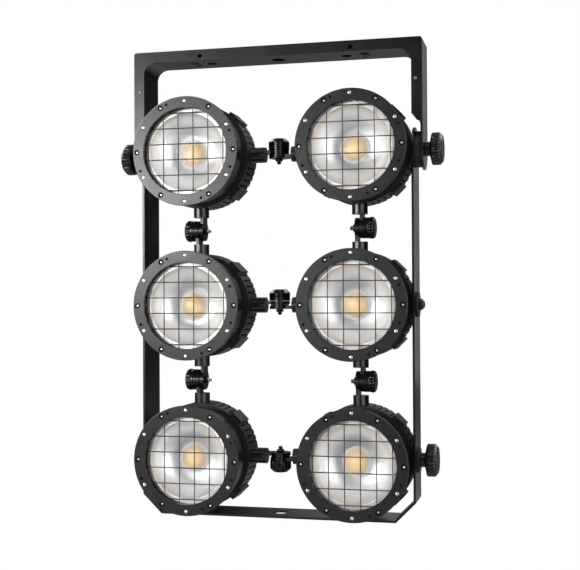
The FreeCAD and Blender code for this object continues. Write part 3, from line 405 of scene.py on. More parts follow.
# %% [markdown]
# ### Rings round each lamp's axis
# The spun reflector and the light module need a pattern that goes round the lamp's own axis. Six
# materials with six centres would do it. One is enough if the distance to the nearest lamp axis
# is folded out of the coordinates: the columns mirror each other, and the rows repeat.

# %% Distance to the nearest lamp axis
COLUMN_X = 0.153
ROW_PITCH = 0.282
ROW_Z = {"top": -0.198, "middle": -0.480, "bottom": -0.762}
SIDE_X = {"left": -COLUMN_X, "right": COLUMN_X}
HEADS = [(row, side, x, z) for row, z in ROW_Z.items() for side, x in SIDE_X.items()]


def maths(tree, operation, first, second=None):
    """One step of arithmetic; each side is a number or another step"""
    step = tree.nodes.new("ShaderNodeMath")
    step.operation = operation
    for socket, item in zip(step.inputs, (first, second)):
        if isinstance(item, (int, float)):
            socket.default_value = item
        elif item is not None:
            tree.links.new(item, socket)
    return step.outputs[0]


def lamp_radius(tree):
    """How far a point lies from the nearest lamp's axis, in metres"""
    where = tree.nodes.new("ShaderNodeTexCoord")
    parts = tree.nodes.new("ShaderNodeSeparateXYZ")
    tree.links.new(where.outputs["Object"], parts.inputs[0])
    beside = maths(tree, "SUBTRACT", maths(tree, "ABSOLUTE", parts.outputs["X"]), COLUMN_X)
    # The height is shifted above zero, because the remainder of a division keeps its sign
    lift = 3 * ROW_PITCH - ROW_Z["bottom"] - ROW_PITCH / 2
    folded = maths(tree, "MODULO", maths(tree, "ADD", parts.outputs["Z"], lift), ROW_PITCH)
    above = maths(tree, "SUBTRACT", folded, ROW_PITCH / 2)
    square = maths(tree, "ADD", maths(tree, "MULTIPLY", beside, beside),
                   maths(tree, "MULTIPLY", above, above))
    return maths(tree, "SQRT", square)


print("heads:", len(HEADS))

# %% [markdown]
# ### Reflector and glass
# The reflector is bright aluminium with a satin skin and faint rings from spinning. Down in its
# throat its colour is painted greyer: painted reflection of the dim room, which the bowl mirrors
# as a grey halo round the light module. Its flat lip is left as it came off the lathe. The glass
# is clear and coated, so it hardly mirrors the studio. Lamps have to light what lies behind it, so
# for their rays it is simply not there.


# %% Reflector and glass
def multiplied(tree, first, second, share=1.0):
    """One colour darkened by another, fully or by a share"""
    mix = tree.nodes.new("ShaderNodeMix")
    mix.data_type = "RGBA"
    mix.blend_type = "MULTIPLY"
    mix.inputs[0].default_value = share
    # This node keeps its two colours in sockets 6 and 7
    tree.links.new(first, mix.inputs[6])
    tree.links.new(second, mix.inputs[7])
    return mix.outputs[2]


reflector_metal, tree, shader = finish_nodes(
    "reflector_metal", (0.90, 0.90, 0.91), 0.46, metal=1.0)
radius = lamp_radius(tree)
rings = tree.nodes.new("ShaderNodeTexNoise")
rings.noise_dimensions = "1D"
rings.inputs["Scale"].default_value = 900
rings.inputs["Detail"].default_value = 2
tree.links.new(radius, rings.inputs["W"])
# Painted reflection: the throat is painted grey for the dim room it mirrors; the lip ring is grey
# too.
painted_throat_shade_and_lip = colours(tree, radius, (
    (0.0300, (0.40, 0.40, 0.405)), (0.0600, (0.96, 0.96, 0.965)),
    (0.0690, (0.94, 0.94, 0.94)), (0.0730, (0.50, 0.50, 0.50))), "EASE")
clouds = tint(tree, grain(tree, 30, 3), (0.95, 0.95, 0.95), (1, 1, 1))
feed(tree, shader, Base_Color=multiplied(tree, painted_throat_shade_and_lip, clouds),
     Roughness=spread(tree, rings.outputs["Fac"], 0.37, 0.45))

clear_glass, tree, shader = finish_nodes(
    "clear_glass", (1, 1, 1), 0.0, Transmission_Weight=1.0, IOR=1.12)
feed(tree, shader, Roughness=spread(tree, grain(tree, 14, 3), 0.0, 0.03))
see_through = tree.nodes.new("ShaderNodeBsdfTransparent")
switch_by_ray(tree, "Is Shadow Ray", shader, see_through)
print("finishes:", reflector_metal.name, clear_glass.name)

# %% [markdown]
# ### Phosphor
# The light module is a yellow phosphor disc under a clear lens, a little deeper in colour near
# its rim and grainy like fine sand. The lens gets the phosphor's colours under a clear coat,
# because so shallow a lens shows nothing else.

# %% Phosphor
led_yellow, tree, shader = finish_nodes(
    "led_yellow", (0.85, 0.65, 0.36), 0.5, Coat_Weight=0.6, Coat_Roughness=0.15)
zones = colours(tree, lamp_radius(tree), (
    (0.0, (0.66, 0.50, 0.25)), (0.012, (0.58, 0.43, 0.23)),
    (0.019, (0.48, 0.34, 0.20)), (0.024, (0.46, 0.40, 0.33))))
sand = tree.nodes.new("ShaderNodeTexVoronoi")
sand.inputs["Scale"].default_value = 700
sand_place = tree.nodes.new("ShaderNodeTexCoord")
tree.links.new(sand_place.outputs["Object"], sand.inputs["Vector"])
speckle = tint(tree, sand.outputs["Distance"], (0.72, 0.66, 0.6), (1, 1, 1))
feed(tree, shader, Base_Color=multiplied(tree, zones, speckle, 0.2))
bumps(tree, shader, sand.outputs["Distance"], 0.00008, 0.5)
print("finishes:", len(bpy.data.materials))

# %% [markdown]
# ## Solids that keep their shape
# Most measured solids are already right. They only need their finish, which goes into the
# material slot of the solid's object. The list says which family of solids gets which finish.

# %% Finishes for the measured solids
FAMILIES = (
    ("yoke_plate", frame_paint), ("yoke_channel", frame_paint), ("yoke_screws", black_steel),
    ("frame_strap", frame_paint), ("pivot_spacers", spacer_plastic),
    ("strap_washers", black_steel), ("strap_bolts", black_steel), ("yoke_knob", knob_plastic),
    ("row_knob", knob_plastic), ("link_knob", knob_plastic), ("bezel", lamp_paint),
    ("grille", grille_coat), ("reflector", reflector_metal), ("housing", shell_paint),
    ("heat_sink", sink_coat), ("front_glass", clear_glass), ("leds", led_yellow),
    ("lugs", lamp_paint), ("fittings", bright_steel),
)
for name, solid in nodes.items():
    coat = next(coat for family, coat in FAMILIES if name.startswith(family))
    for slot in solid.material_slots:
        slot.material = coat
print("finished solids:", len(nodes))

# %% [markdown]
# ## Rounding the edges of plates and castings
# No bent plate or casting has knife edges, and the thin bright lines along them are what the eye
# reads as thickness. A measured solid is a cloud of loose triangles, so a copy is merged, its
# flat faces are joined, and then a narrow bevel goes on every sharp edge. The copy stands for the
# solid from then on.

# %% Rounded copies
CARRIER = {name: body for body, members in frame["record"]["behaviour"]["bodies"].items()
           for name in members}


def only(piece):
    """Select one piece and nothing else"""
    bpy.ops.object.select_all(action="DESELECT")
    piece.select_set(True)
    bpy.context.view_layer.objects.active = piece


def apply_modifiers(piece):
    """Turn all modifiers of a piece into real mesh"""
    only(piece)
    for modifier in list(piece.modifiers):
        bpy.ops.object.modifier_apply(modifier=modifier.name)


def smooth(piece, angle=35):
    """Shade smooth, but keep edges that turn by more than an angle in degrees"""
    only(piece)
    bpy.ops.object.shade_smooth_by_angle(angle=math.radians(angle))


def bevelled(piece, width, steps=2, sharp=40):
    """Round the edges that turn by more than an angle in degrees"""
    bevel = piece.modifiers.new("edges", "BEVEL")
    bevel.width = width
    bevel.segments = steps
    bevel.limit_method = "ANGLE"
    bevel.angle_limit = math.radians(sharp)
    apply_modifiers(piece)
    smooth(piece)


def rounded_copy(node, name, width):
    """A merged copy of a solid with its sharp edges rounded; it takes the solid's place"""
    piece = bpy.data.objects.new(name, nodes[node].data.copy())
    bpy.context.scene.collection.objects.link(piece)
    only(piece)
    if piece.data.has_custom_normals:
        bpy.ops.mesh.customdata_custom_splitnormals_clear()
    bpy.ops.object.mode_set(mode="EDIT")
    bpy.ops.mesh.select_all(action="SELECT")
    bpy.ops.mesh.remove_doubles(threshold=0.00001)
    bpy.ops.mesh.dissolve_limited(angle_limit=math.radians(0.5))
    bpy.ops.object.mode_set(mode="OBJECT")
    bevelled(piece, width, sharp=38)
    piece.modifiers.new("flat faces stay flat", "WEIGHTED_NORMAL").keep_sharp = True
    apply_modifiers(piece)
    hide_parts(node)
    print(name, len(piece.data.polygons), "faces")
    return piece


for node, width in (("yoke_plate", 0.0005), ("yoke_channel", 0.0007), ("frame_strap", 0.0006),
                    ("strap_washers", 0.0005), ("pivot_spacers", 0.001)):
    piece = rounded_copy(node, node + "_rounded", width)
    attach(piece, CARRIER[node])
for row in ROW_Z:
    piece = rounded_copy("lugs_" + row, "link_lugs_" + row, 0.0006)
    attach(piece, CARRIER["lugs_" + row])

# %% [markdown]
# ## Turned pieces
# Screws, nuts, knobs and glands are all turned or moulded round an axis. The lathe helper does
# what one would do by hand: add a disc, extrude it, slide it along the axis and scale it, and do
# that again for each step of the profile. Each piece is made once at the origin, with its axis up,
# and its copies are put in place with their own mesh.


# %% Lathe and copies
def lathe(name, sides, steps):
    """Closed turned piece from (height, radius) steps, with its axis up"""
    bpy.ops.object.select_all(action="DESELECT")
    height, radius = steps[0]
    bpy.ops.mesh.primitive_circle_add(vertices=sides, radius=radius, fill_type="NGON",
                                      location=(0, 0, height))
    piece = bpy.context.object
    piece.name = name
    bpy.ops.object.transform_apply(location=True, rotation=True, scale=True)
    bpy.ops.object.mode_set(mode="EDIT")
    bpy.ops.mesh.select_all(action="SELECT")
    for next_height, next_radius in steps[1:]:
        slide = {"value": (0, 0, next_height - height)}
        bpy.ops.mesh.extrude_region_move(TRANSFORM_OT_translate=slide)
        share = next_radius / radius
        bpy.ops.transform.resize(value=(share, share, 1), center_override=(0, 0, next_height))
        height, radius = next_height, next_radius
    bpy.ops.mesh.select_all(action="SELECT")
    bpy.ops.mesh.normals_make_consistent(inside=False)
    bpy.ops.object.mode_set(mode="OBJECT")
    return piece


def put(pattern, name, at, toward, spin=0.0):
    """Copy of a piece from the origin, moved to a place and turned to point somewhere"""
    piece = bpy.data.objects.new(name, pattern.data.copy())
    bpy.context.scene.collection.objects.link(piece)
    turn = Vector(toward).to_track_quat("Z", "Y").to_matrix().to_4x4()
    piece.data.transform(Matrix.Translation(at) @ turn @ Matrix.Rotation(spin, 4, "Z"))
    return piece


def joined(name, pieces):
    """Several pieces made into one"""
    bpy.ops.object.select_all(action="DESELECT")
    for piece in pieces:
        piece.select_set(True)
    bpy.context.view_layer.objects.active = pieces[0]
    if len(pieces) > 1:
        bpy.ops.object.join()
    pieces[0].name = name
    return pieces[0]


def paint(piece, coat):
    """Give a whole piece one finish"""
    piece.data.materials.clear()
    piece.data.materials.append(coat)


print("lathe ready")

# %% [markdown]
# ### Bezel screws
# Each bezel has twelve stainless screws. Six lie flush with the ring and have a low dome with a
# small hexagon socket. The other six sit deep in counterbores, and only a small round head shines
# out of the hole. A black rubber ring under each of these heads is painted shade: it makes the
# counterbore dark. The socket starts as a round inset whose points are then pulled onto a hexagon,
# which keeps the rim round.

# %% Two kinds of screw
SOCKET_R = 0.0011
HEXAGON_SIDE = math.radians(60)
flush_head = lathe("flush_head", 24, [
    (-0.002, 0.0031), (-0.0008, 0.0033), (-0.0004, 0.0031), (-0.0001, 0.0025), (0, 0.0018),
    (0, SOCKET_R), (-0.0012, SOCKET_R)])
sunk_head = lathe("sunk_head", 24, [
    (-0.0002, 0.0022), (0.0004, 0.0024), (0.0010, 0.0022), (0.0014, 0.0018), (0.0016, 0.0014),
    (0.0016, SOCKET_R), (0.0006, SOCKET_R)])
# Painted shade: a flat black ring at the foot of each sunk head darkens its counterbore.
shade_ring = lathe("counterbore_shade_ring", 24, [
    (0, 0.0042), (0.0003, 0.0048), (0.0006, 0.0046), (0.0006, 0.0022)])
smooth(shade_ring, 30)
paint(shade_ring, rubber_and_painted_shade)
for pattern in (flush_head, sunk_head):
    for point in pattern.data.vertices:
        if abs(math.hypot(point.co.x, point.co.y) - SOCKET_R) < 0.0001:
            turn = math.atan2(point.co.y, point.co.x) % HEXAGON_SIDE - HEXAGON_SIDE / 2
            flat = math.cos(HEXAGON_SIDE / 2) / math.cos(turn)
            point.co.x *= flat
            point.co.y *= flat
    smooth(pattern, 50)
    paint(pattern, bright_steel)
shade_ring.data.transform(Matrix.Translation((0, 0, -0.0003)))
sunk_head = joined("sunk_head", [sunk_head, shade_ring])
print("screw heads:", len(flush_head.data.polygons), len(sunk_head.data.polygons), "faces")

# %% [markdown]
# The screws stand every thirty degrees, a flush one and a sunk one in turn. Nobody lines up the
# sockets of twelve screws, so each is turned by another angle.

# %% Screws in the bezels
FACE_Y = -0.099
SCREW_CIRCLE_R = 0.092
SCREWS = 12
SUNK_BY = 0.0026


def on_screw_circle(x, z, degrees, deep=0.0):
    """Place on a bezel's screw circle, clockwise from the top"""
    turn = math.radians(degrees)
    return (x + SCREW_CIRCLE_R * math.sin(turn), FACE_Y + deep,
            z + SCREW_CIRCLE_R * math.cos(turn))


for row, side, x, z in HEADS:
    heads = []
    for n in range(SCREWS):
        pattern, deep = (sunk_head, SUNK_BY) if n % 2 else (flush_head, 0.0)
        at = on_screw_circle(x, z, 360 / SCREWS * n, deep)
        heads.append(put(pattern, "head", at, (0, -1, 0), spin=0.7 * n + x))
    piece = joined("bezel_screws_%s_%s" % (row, side), heads)
    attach(piece, CARRIER["fittings_" + row])
print("bezel screws: 6 sets of", SCREWS)

# %% [markdown]
# Between the screws each bezel has five small holes, which show as black dots. A soft black plug
# in each one is painted shade for the dark hole; its face has a low rim and a dimple, so it never
# looks painted on.

# %% Plugs in the small holes
SMALL_HOLE_ANGLES = (68, 110, 160, 248, 338)
# Painted shade: each small hole gets a black plug, so the hole reads dark.
hole_shade_plug = lathe("hole_shade_plug", 24, [
    (-0.0010, 0.0012), (0.0, 0.0012), (0.0, 0.0026), (0.00015, 0.0027), (0.0003, 0.0025),
    (0.0003, 0.0018), (-0.0002, 0.0010)])
smooth(hole_shade_plug, 40)
paint(hole_shade_plug, rubber_and_painted_shade)
for row, side, x, z in HEADS:
    hole_shade_plugs = [put(hole_shade_plug, "hole_shade_plug", on_screw_circle(x, z, angle), (0, -1, 0)) for angle in SMALL_HOLE_ANGLES]
    piece = joined("bezel_plugs_%s_%s" % (row, side), hole_shade_plugs)
    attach(piece, CARRIER["fittings_" + row])
print("plugs: 6 sets of", len(SMALL_HOLE_ANGLES))

# %% [markdown]
# ### Sleeves in the heat sinks
# The cooling slots look like shallow dark grooves in the photo, and the drums' outlines stay
# smooth, so something closes the slots from inside. What it is can't be seen. Here a thin black
# sleeve does it. It is turned as a solid, then its ends are taken off and the skin gets a
# thickness, because a closed drum would hide the fins at the back.

# %% Sleeves in the heat sinks
SLEEVE_THICK = 0.0038
sleeve = lathe("slot_sleeve", 128, [(0.0132, 0.0966), (0.0420, 0.0966), (0.0568, 0.0902)])
only(sleeve)
bpy.ops.object.mode_set(mode="EDIT")
bpy.ops.mesh.select_all(action="DESELECT")
bpy.ops.mesh.select_face_by_sides(number=4, type="GREATER")
bpy.ops.mesh.delete(type="FACE")
bpy.ops.object.mode_set(mode="OBJECT")
skin = sleeve.modifiers.new("skin", "SOLIDIFY")
skin.thickness = SLEEVE_THICK
skin.offset = -1
apply_modifiers(sleeve)
smooth(sleeve, 30)
paint(sleeve, rubber_and_painted_shade)
for row, z in ROW_Z.items():
    pair = [put(sleeve, "sleeve", (x, 0, z), (0, 1, 0)) for x in SIDE_X.values()]
    piece = joined("slot_sleeves_" + row, pair)
    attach(piece, CARRIER["fittings_" + row])
print("sleeves: 3 pairs,", len(sleeve.data.polygons), "faces each")

# %% [markdown]
# ### Nuts and cable glands
# A chamfered hexagon nut closes each link, across from its knob. On the back of every head a gland
# lets the cable in: a hexagon, a neck, and a ribbed cap nut with a rubber seal in its mouth. No
# cable shows in the picture, so the glands stay empty. The cap's ribs are what is left when every
# fourth row of its points is moved inwards, which is the same job as the flutes of the knobs
# later on, so it gets a helper.


# %% Nut and gland
def squeeze_points(piece, test, share):
    """Scale the points that pass a test towards the axis"""
    only(piece)
    bpy.ops.object.mode_set(mode="EDIT")
    bpy.ops.mesh.select_mode(type="VERT")
    bpy.ops.mesh.select_all(action="DESELECT")
    bpy.ops.object.mode_set(mode="OBJECT")
    for point in piece.data.vertices:
        point.select = test(point.co)
    bpy.ops.object.mode_set(mode="EDIT")
    bpy.ops.transform.resize(value=(share, share, 1), center_override=(0, 0, 0))
    bpy.ops.object.mode_set(mode="OBJECT")


CAP_POINTS = 48


def between_ribs(point):
    """Whether a point of the cap lies in one of the grooves between its ribs"""
    place = round(math.degrees(math.atan2(point.y, point.x)) / (360 / CAP_POINTS))
    return 0.0078 < point.z < 0.0131 and place % 4 == 0


nut = lathe("nut", 6, [
    (0, 0.0068), (0.0005, 0.0072), (0.0045, 0.0072), (0.005, 0.0068), (0.005, 0.0045),
    (0.0042, 0.0041)])
bevelled(nut, 0.0003, 1)
paint(nut, black_steel)
hexagon = lathe("gland_hexagon", 6, [
    (0, 0.0104), (0.0005, 0.011), (0.0045, 0.011), (0.005, 0.0104)])
bevelled(hexagon, 0.0004, 1)
neck = lathe("gland_neck", 36, [
    (0.005, 0.0086), (0.0055, 0.0082), (0.006, 0.0086), (0.0065, 0.0082), (0.007, 0.0086),
    (0.0075, 0.0084)])
smooth(neck)
cap = lathe("gland_cap", CAP_POINTS, [
    (0.0075, 0.0096), (0.0079, 0.01), (0.0130, 0.01), (0.0165, 0.0084), (0.0182, 0.0074),
    (0.0185, 0.0066), (0.0183, 0.0056), (0.0172, 0.0052)])
squeeze_points(cap, between_ribs, 0.93)
smooth(cap, 28)
seal = lathe("gland_seal", 32, [
    (0.0168, 0.0052), (0.0174, 0.005), (0.0174, 0.0036), (0.0168, 0.0034), (0.012, 0.0034)])
smooth(seal)
for part, coat in ((hexagon, knob_plastic), (neck, knob_plastic), (cap, knob_plastic),
                   (seal, rubber_and_painted_shade)):
    paint(part, coat)
gland = joined("gland", [hexagon, neck, cap, seal])
print("nut:", len(nut.data.polygons), "gland:", len(gland.data.polygons), "faces")

# %% [markdown]
# The glands point straight back from the middle of each heat sink. The knob of the lowest level
# link hangs under it, so there the nut sits on top. The nuts of the upright links sit on the
# inner side, because their knobs point outwards.

# %% Nuts and glands in place
GLAND_Y = 0.053
LINK_FACE = 0.0078
for row, z in ROW_Z.items():
    for side, x in SIDE_X.items():
        piece = put(gland, "cable_gland_%s_%s" % (row, side), (x, GLAND_Y, z), (0, 1, 0))
        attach(piece, CARRIER["fittings_" + row])
    way = 1 if row == "bottom" else -1
    link_nuts = [put(nut, "nut", (0, 0, z + way * LINK_FACE), (0, 0, way))]
    if row != "bottom":
        for side, x in SIDE_X.items():
            way = 1 if side == "left" else -1
            at = (x + way * LINK_FACE, 0, z - ROW_PITCH / 2)
            link_nuts.append(put(nut, "nut", at, (way, 0, 0)))
    piece = joined("link_nuts_" + row, link_nuts)
    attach(piece, CARRIER["fittings_" + row])
    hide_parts("fittings_" + row)
print("glands and nuts in place")

# %% [markdown]
# ### Small things on the yoke
# A satin screw holds each leg of the channel from the front. Beside the side bolt holes lie two
# small pressed frames, and under the bar two flat cable clips. They are only a few millimetres
# large, but they break up the long plain faces of the bar.

# %% Channel screws
FLANGE_Y = -0.038
CHANNEL_SCREW_X = 0.262
CHANNEL_SCREW_Z = -0.075
screw = lathe("channel_screw", 32, [
    (0, 0.0029), (0.0009, 0.0030), (0.0013, 0.0027), (0.0015, 0.0021), (0.0015, 0.0014),
    (0.0007, 0.0013)])
smooth(screw, 50)
paint(screw, satin_steel)
pair = [put(screw, "screw", (way * CHANNEL_SCREW_X, FLANGE_Y, CHANNEL_SCREW_Z), (0, -1, 0))
        for way in (-1, 1)]
piece = joined("channel_screw_heads", pair)
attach(piece, CARRIER["yoke_screws"])
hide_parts("yoke_screws")
print("channel screws:", len(pair))

# %% [markdown]
# Frames and clips start as flat plates. Their shape comes from insets and short pushes of the
# upper face, as a press would do it. A cube with a hollow on top would need more steps.


# %% Pressed frames
def plate(name, wide, tall, thick):
    """Flat plate at the origin that lies on the XY plane"""
    bpy.ops.object.select_all(action="DESELECT")
    bpy.ops.mesh.primitive_cube_add(size=1, location=(0, 0, thick / 2))
    made = bpy.context.object
    made.name = name
    made.scale = (wide, tall, thick)
    bpy.ops.object.transform_apply(location=True, rotation=True, scale=True)
    return made


def press_top(piece, *steps):
    """Inset the upper face and push the inset face up or down, once for each step"""
    only(piece)
    bpy.ops.object.mode_set(mode="EDIT")
    bpy.ops.mesh.select_mode(type="FACE")
    bpy.ops.mesh.select_all(action="DESELECT")
    bpy.ops.object.mode_set(mode="OBJECT")
    highest = max(face.center.z for face in piece.data.polygons)
    for face in piece.data.polygons:
        face.select = face.normal.z > 0.9 and face.center.z > highest - 0.00001
    bpy.ops.object.mode_set(mode="EDIT")
    for margin, push in steps:
        bpy.ops.mesh.inset(thickness=margin)
        bpy.ops.mesh.extrude_region_move(TRANSFORM_OT_translate={"value": (0, 0, push)})
    bpy.ops.object.mode_set(mode="OBJECT")


PRESSED_X = 0.1625
PRESSED_Z = -0.0105
pressed = plate("pressed_frame", 0.0185, 0.0090, 0.0003)
press_top(pressed, (0.0007, -0.00025))
bevelled(pressed, 0.0001, 1)
paint(pressed, frame_paint)
pair = [put(pressed, "frame", (way * PRESSED_X, FLANGE_Y, PRESSED_Z), (0, -1, 0))
        for way in (-1, 1)]
piece = joined("pressed_frames", pair)
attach(piece, CARRIER["yoke_channel"])
print("pressed frame:", len(pressed.data.polygons), "faces")

# %% [markdown]
# A clip has a raised body with a hollow in it for the tie. It is made like the frames, with one
# push up and one push down.

# %% Cable clips
CLIP_X = 0.164
BAR_UNDERSIDE_Z = -0.020
clip = plate("clip", 0.017, 0.024, 0.0012)
press_top(clip, (0.0030, 0.0018), (0.0015, -0.0012))
bevelled(clip, 0.0004, 2)
paint(clip, black_steel)
pair = [put(clip, "clip", (way * CLIP_X, 0, BAR_UNDERSIDE_Z), (0, 0, -1)) for way in (-1, 1)]
piece = joined("cable_clips", pair)
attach(piece, CARRIER["yoke_channel"])
print("yoke details in place")

# %% [markdown]
# ### Fluted knobs
# The knobs are what a stagehand grips, so their flutes catch the light. A disc with six points
# for each flute is extruded along the profile, and then the points in each flute's middle are
# pulled towards the axis. The links use three grips: a fluted head on a plain foot for the
# upright links, rings for the upper level links, and flutes along the whole grip for the lowest.

# %% Link grips
LINK_FLUTES = 18
FLUTE_POINTS = 6


def flute_place(point, count):
    """0 in the middle of a flute, 1 beside it, up to 3 on the ridge"""
    turn = math.atan2(point.y, point.x) / (2 * math.pi) * count * FLUTE_POINTS
    half = FLUTE_POINTS // 2
    return abs((round(turn) + half) % FLUTE_POINTS - half)


def flute(piece, above, outside, count, share):
    """Press flutes into the points that lie above a height and outside a radius"""
    for place, part in ((0, share), (1, (1 + 2 * share) / 3)):
        squeeze_points(piece, lambda p: p.z > above and math.hypot(p.x, p.y) > outside
                       and flute_place(p, count) == place, part)


# Every link grip ends in this hollow face
HOLLOW_FACE = [(0.0215, 0.0110), (0.0210, 0.0104), (0.0208, 0.0100)]
grip = lathe("link_grip", LINK_FLUTES * FLUTE_POINTS, [
    (0, 0.0180), (0, 0.0190), (0.0004, 0.0194), (0.0045, 0.0194), (0.00525, 0.0187),
    (0.0060, 0.0194), (0.0097, 0.0194), (0.0105, 0.0187), (0.0110, 0.0193), (0.0116, 0.0201),
    (0.0160, 0.0202), (0.0180, 0.0197), (0.0197, 0.0184), (0.0208, 0.0166), (0.0214, 0.0147),
    (0.0215, 0.0128)] + HOLLOW_FACE)
flute(grip, 0.0112, 0.0190, LINK_FLUTES, 0.935)
smooth(grip, 42)
ring_grip = lathe("ring_grip", 96, [
    (0, 0.0180), (0, 0.0190), (0.0005, 0.0194), (0.0046, 0.0194), (0.0052, 0.0185),
    (0.0058, 0.0194), (0.0078, 0.0195), (0.0083, 0.0188), (0.0088, 0.0195), (0.0108, 0.0196),
    (0.0113, 0.0188), (0.0118, 0.0196), (0.0138, 0.0196), (0.0143, 0.0188), (0.0148, 0.0194),
    (0.0166, 0.0178), (0.0170, 0.0171), (0.0176, 0.0168), (0.0206, 0.0136), (0.0213, 0.0126),
    (0.0215, 0.0116)] + HOLLOW_FACE)
smooth(ring_grip, 35)
long_grip = lathe("long_grip", LINK_FLUTES * FLUTE_POINTS, [
    (0, 0.0180), (0, 0.0190), (0.0006, 0.0196), (0.0060, 0.0197), (0.0140, 0.0197),
    (0.0150, 0.0194), (0.0176, 0.0168), (0.0206, 0.0136), (0.0213, 0.0126),
    (0.0215, 0.0116)] + HOLLOW_FACE)
flute(long_grip, 0.0004, 0.0186, LINK_FLUTES, 0.93)
smooth(long_grip, 42)
for part in (grip, ring_grip, long_grip):
    paint(part, knob_plastic)
print("link grips:", [len(part.data.polygons) for part in (grip, ring_grip, long_grip)], "faces")

# %% [markdown]
# The threaded stud that goes through both tongues belongs to the knob. Its thread could be a
# helix, but rings of the right pitch look the same at this size and keep the piece closed. The
# studs of the upright links are bright, the others are blackened.

# %% Link knobs
THREAD_PITCH = 0.0010
THREAD_TURNS = 6
turns = [(-0.0261, 0.0031), (-0.0257, 0.0036)]
for n in range(THREAD_TURNS):
    turns += [(-0.0254 + THREAD_PITCH * n, 0.0040), (-0.0249 + THREAD_PITCH * n, 0.0035)]
turns += [(-0.0194, 0.0040), (0.0002, 0.0040)]
stud = lathe("link_stud", 24, turns)
smooth(stud, 25)
paint(stud, bright_steel)
link_knob = joined("link_knob", [grip, stud])
ring_stud = lathe("ring_stud", 24, turns)
smooth(ring_stud, 25)
paint(ring_stud, black_steel)
ring_knob = joined("ring_knob", [ring_grip, put(ring_stud, "stud", (0, 0, 0), (0, 0, 1))])
long_knob = joined("long_knob", [long_grip, ring_stud])
for row, z in ROW_Z.items():
    way = -1 if row == "bottom" else 1
    node = "link_knob_" + row
    pattern = long_knob if row == "bottom" else ring_knob
    piece = put(pattern, "grip_" + node, (0, 0, z + way * LINK_FACE), (0, 0, way))
    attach(piece, CARRIER[node])
    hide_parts(node)
    for side, x in SIDE_X.items():
        node = "link_knob_below_%s_%s" % (row, side)
        if node not in nodes:
            continue
        way = -1 if side == "left" else 1
        at = (x + way * LINK_FACE, 0, z - ROW_PITCH / 2)
        piece = put(link_knob, "grip_" + node, at, (way, 0, 0))
        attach(piece, CARRIER[node])
        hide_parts(node)
print("link knob:", len(link_knob.data.polygons), "faces")

# %% [markdown]
# ### Clamp knobs
# Three large knobs clamp the frame in the yoke and the bottom row in the frame. They have a hub,
# a cone at the back, thirty flutes and a shallow dish in the outer face. The stud is as long as
# the bore behind the knob is deep, so each knob gets its own.

# %% Clamp knobs
CLAMP_FLUTES = 30
YOKE_X = 0.274
WASHER_X = 0.2615
BORE_END_X = 0.2403
clamp = lathe("clamp_grip", CLAMP_FLUTES * FLUTE_POINTS, [
    (0.0003, 0.0122), (0.0003, 0.0127), (0.0006, 0.0130), (0.0086, 0.0130), (0.0090, 0.0134),
    (0.0124, 0.0272), (0.0131, 0.0288), (0.0142, 0.0295), (0.0262, 0.0295), (0.0275, 0.0290),
    (0.0318, 0.0247), (0.0327, 0.0236), (0.0330, 0.0222), (0.0330, 0.0160), (0.0322, 0.0150),
    (0.0320, 0.0120)])
flute(clamp, 0.0120, 0.0280, CLAMP_FLUTES, 0.945)
smooth(clamp, 42)
paint(clamp, knob_plastic)


def clamp_knob(node, x, z, way):
    """Knob on the outer face at x, with a stud that reaches the end of its bore"""
    stud_long = abs(x) - BORE_END_X
    shaft = lathe("clamp_stud", 32, [
        (-stud_long, 0.0046), (0.0004 - stud_long, 0.005), (0.0004, 0.005)])
    smooth(shaft)
    paint(shaft, black_steel)
    whole = joined("knob_parts", [put(clamp, "grip", (0, 0, 0), (0, 0, 1)), shaft])
    piece = put(whole, "grip_" + node, (x, 0, z), (way, 0, 0))
    bpy.data.objects.remove(whole)
    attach(piece, CARRIER[node])
    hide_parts(node)


clamp_knob("yoke_knob_left", -YOKE_X, ROW_Z["top"], -1)
clamp_knob("yoke_knob_right", YOKE_X, ROW_Z["top"], 1)
clamp_knob("row_knob", WASHER_X, ROW_Z["bottom"], 1)
print("clamp knob:", len(clamp.data.polygons), "faces")

# %% [markdown]
# ### Light modules
# Behind the glass a yellow disc under a clear lens sits in a pale ring holder. The lens is turned
# with closely spaced steps, so it reads as round from every side.

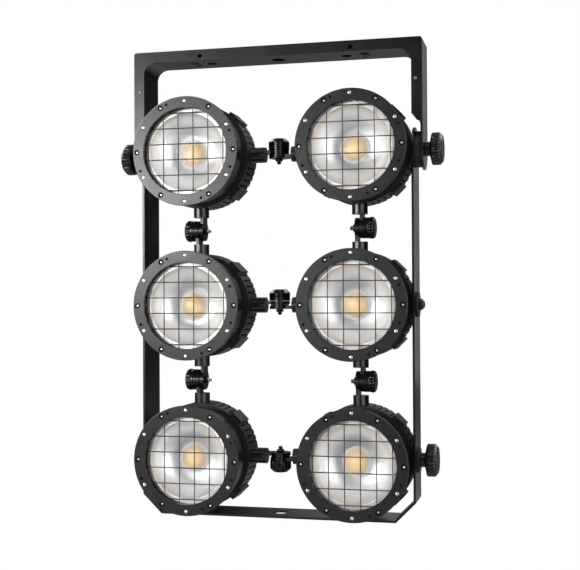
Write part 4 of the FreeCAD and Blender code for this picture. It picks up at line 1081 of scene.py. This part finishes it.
# %% Light modules
LED_R = 0.0245
LED_Y = -0.046
DOME = 0.008
DOME_STEPS = 12
LENS_R = (LED_R ** 2 + DOME ** 2) / (2 * DOME)
lens_steps = [(-0.0015, LED_R), (0.0, LED_R)]
for n in range(1, DOME_STEPS):
    slope = math.asin(LED_R / LENS_R) * (1 - n / DOME_STEPS)
    lens_steps.append((DOME - LENS_R + LENS_R * math.cos(slope), LENS_R * math.sin(slope)))
lens = lathe("lens", 64, lens_steps)
smooth(lens, 40)
paint(lens, led_yellow)
ring = lathe("holder_outside", 64, [
    (-0.0012, 0.0246), (-0.0012, 0.0276), (0.0000, 0.0279), (0.0005, 0.0276), (0.0007, 0.0262),
    (0.0006, 0.0238)])
smooth(ring, 30)
paint(ring, holder_white)
module = joined("module", [lens, ring])
for row, z in ROW_Z.items():
    pair = [put(module, "module", (x, LED_Y, z), (0, -1, 0)) for x in SIDE_X.values()]
    piece = joined("light_modules_" + row, pair)
    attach(piece, CARRIER["leds_" + row])
    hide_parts("leds_" + row)
print("light modules in place")

# %% [markdown]
# ### Acorn nuts
# The fixed ends of the middle and bottom rows are held by domed nuts on washers. Each nut is a
# hexagon with a turned dome and a shank. When they are in place, every pattern at the origin has
# done its work and is taken away.

# %% Acorn nuts
acorn = lathe("acorn_nut", 6, [(0, 0.0100), (0.0006, 0.0104), (0.0058, 0.0104), (0.0065, 0.0098)])
bevelled(acorn, 0.0005, 2)
dome = lathe("acorn_dome", 36, [
    (0.0060, 0.0082), (0.0070, 0.0080), (0.0083, 0.0072), (0.0094, 0.0058), (0.0101, 0.0040),
    (0.0104, 0.0020), (0.0105, 0.0006)])
smooth(dome, 40)
shank_end = BORE_END_X - WASHER_X
shank = lathe("bolt_shank", 32, [
    (shank_end, 0.0046), (shank_end + 0.0004, 0.005), (0.0003, 0.005)])
smooth(shank)
for part in (acorn, dome, shank):
    paint(part, black_steel)
bolt = joined("bolt", [acorn, dome, shank])
ends = [put(bolt, "bolt_end", (way * WASHER_X, 0, ROW_Z[row]), (way, 0, 0))
        for row, way in (("middle", -1), ("middle", 1), ("bottom", -1))]
piece = joined("strap_bolt_set", ends)
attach(piece, CARRIER["strap_bolts"])
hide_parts("strap_bolts")

for pattern in (flush_head, sunk_head, hole_shade_plug, sleeve, nut, gland, screw, pressed, clip, link_knob,
                ring_knob, long_knob, clamp, module, bolt):
    bpy.data.objects.remove(pattern)
print("acorn nuts in place:", len(ends))
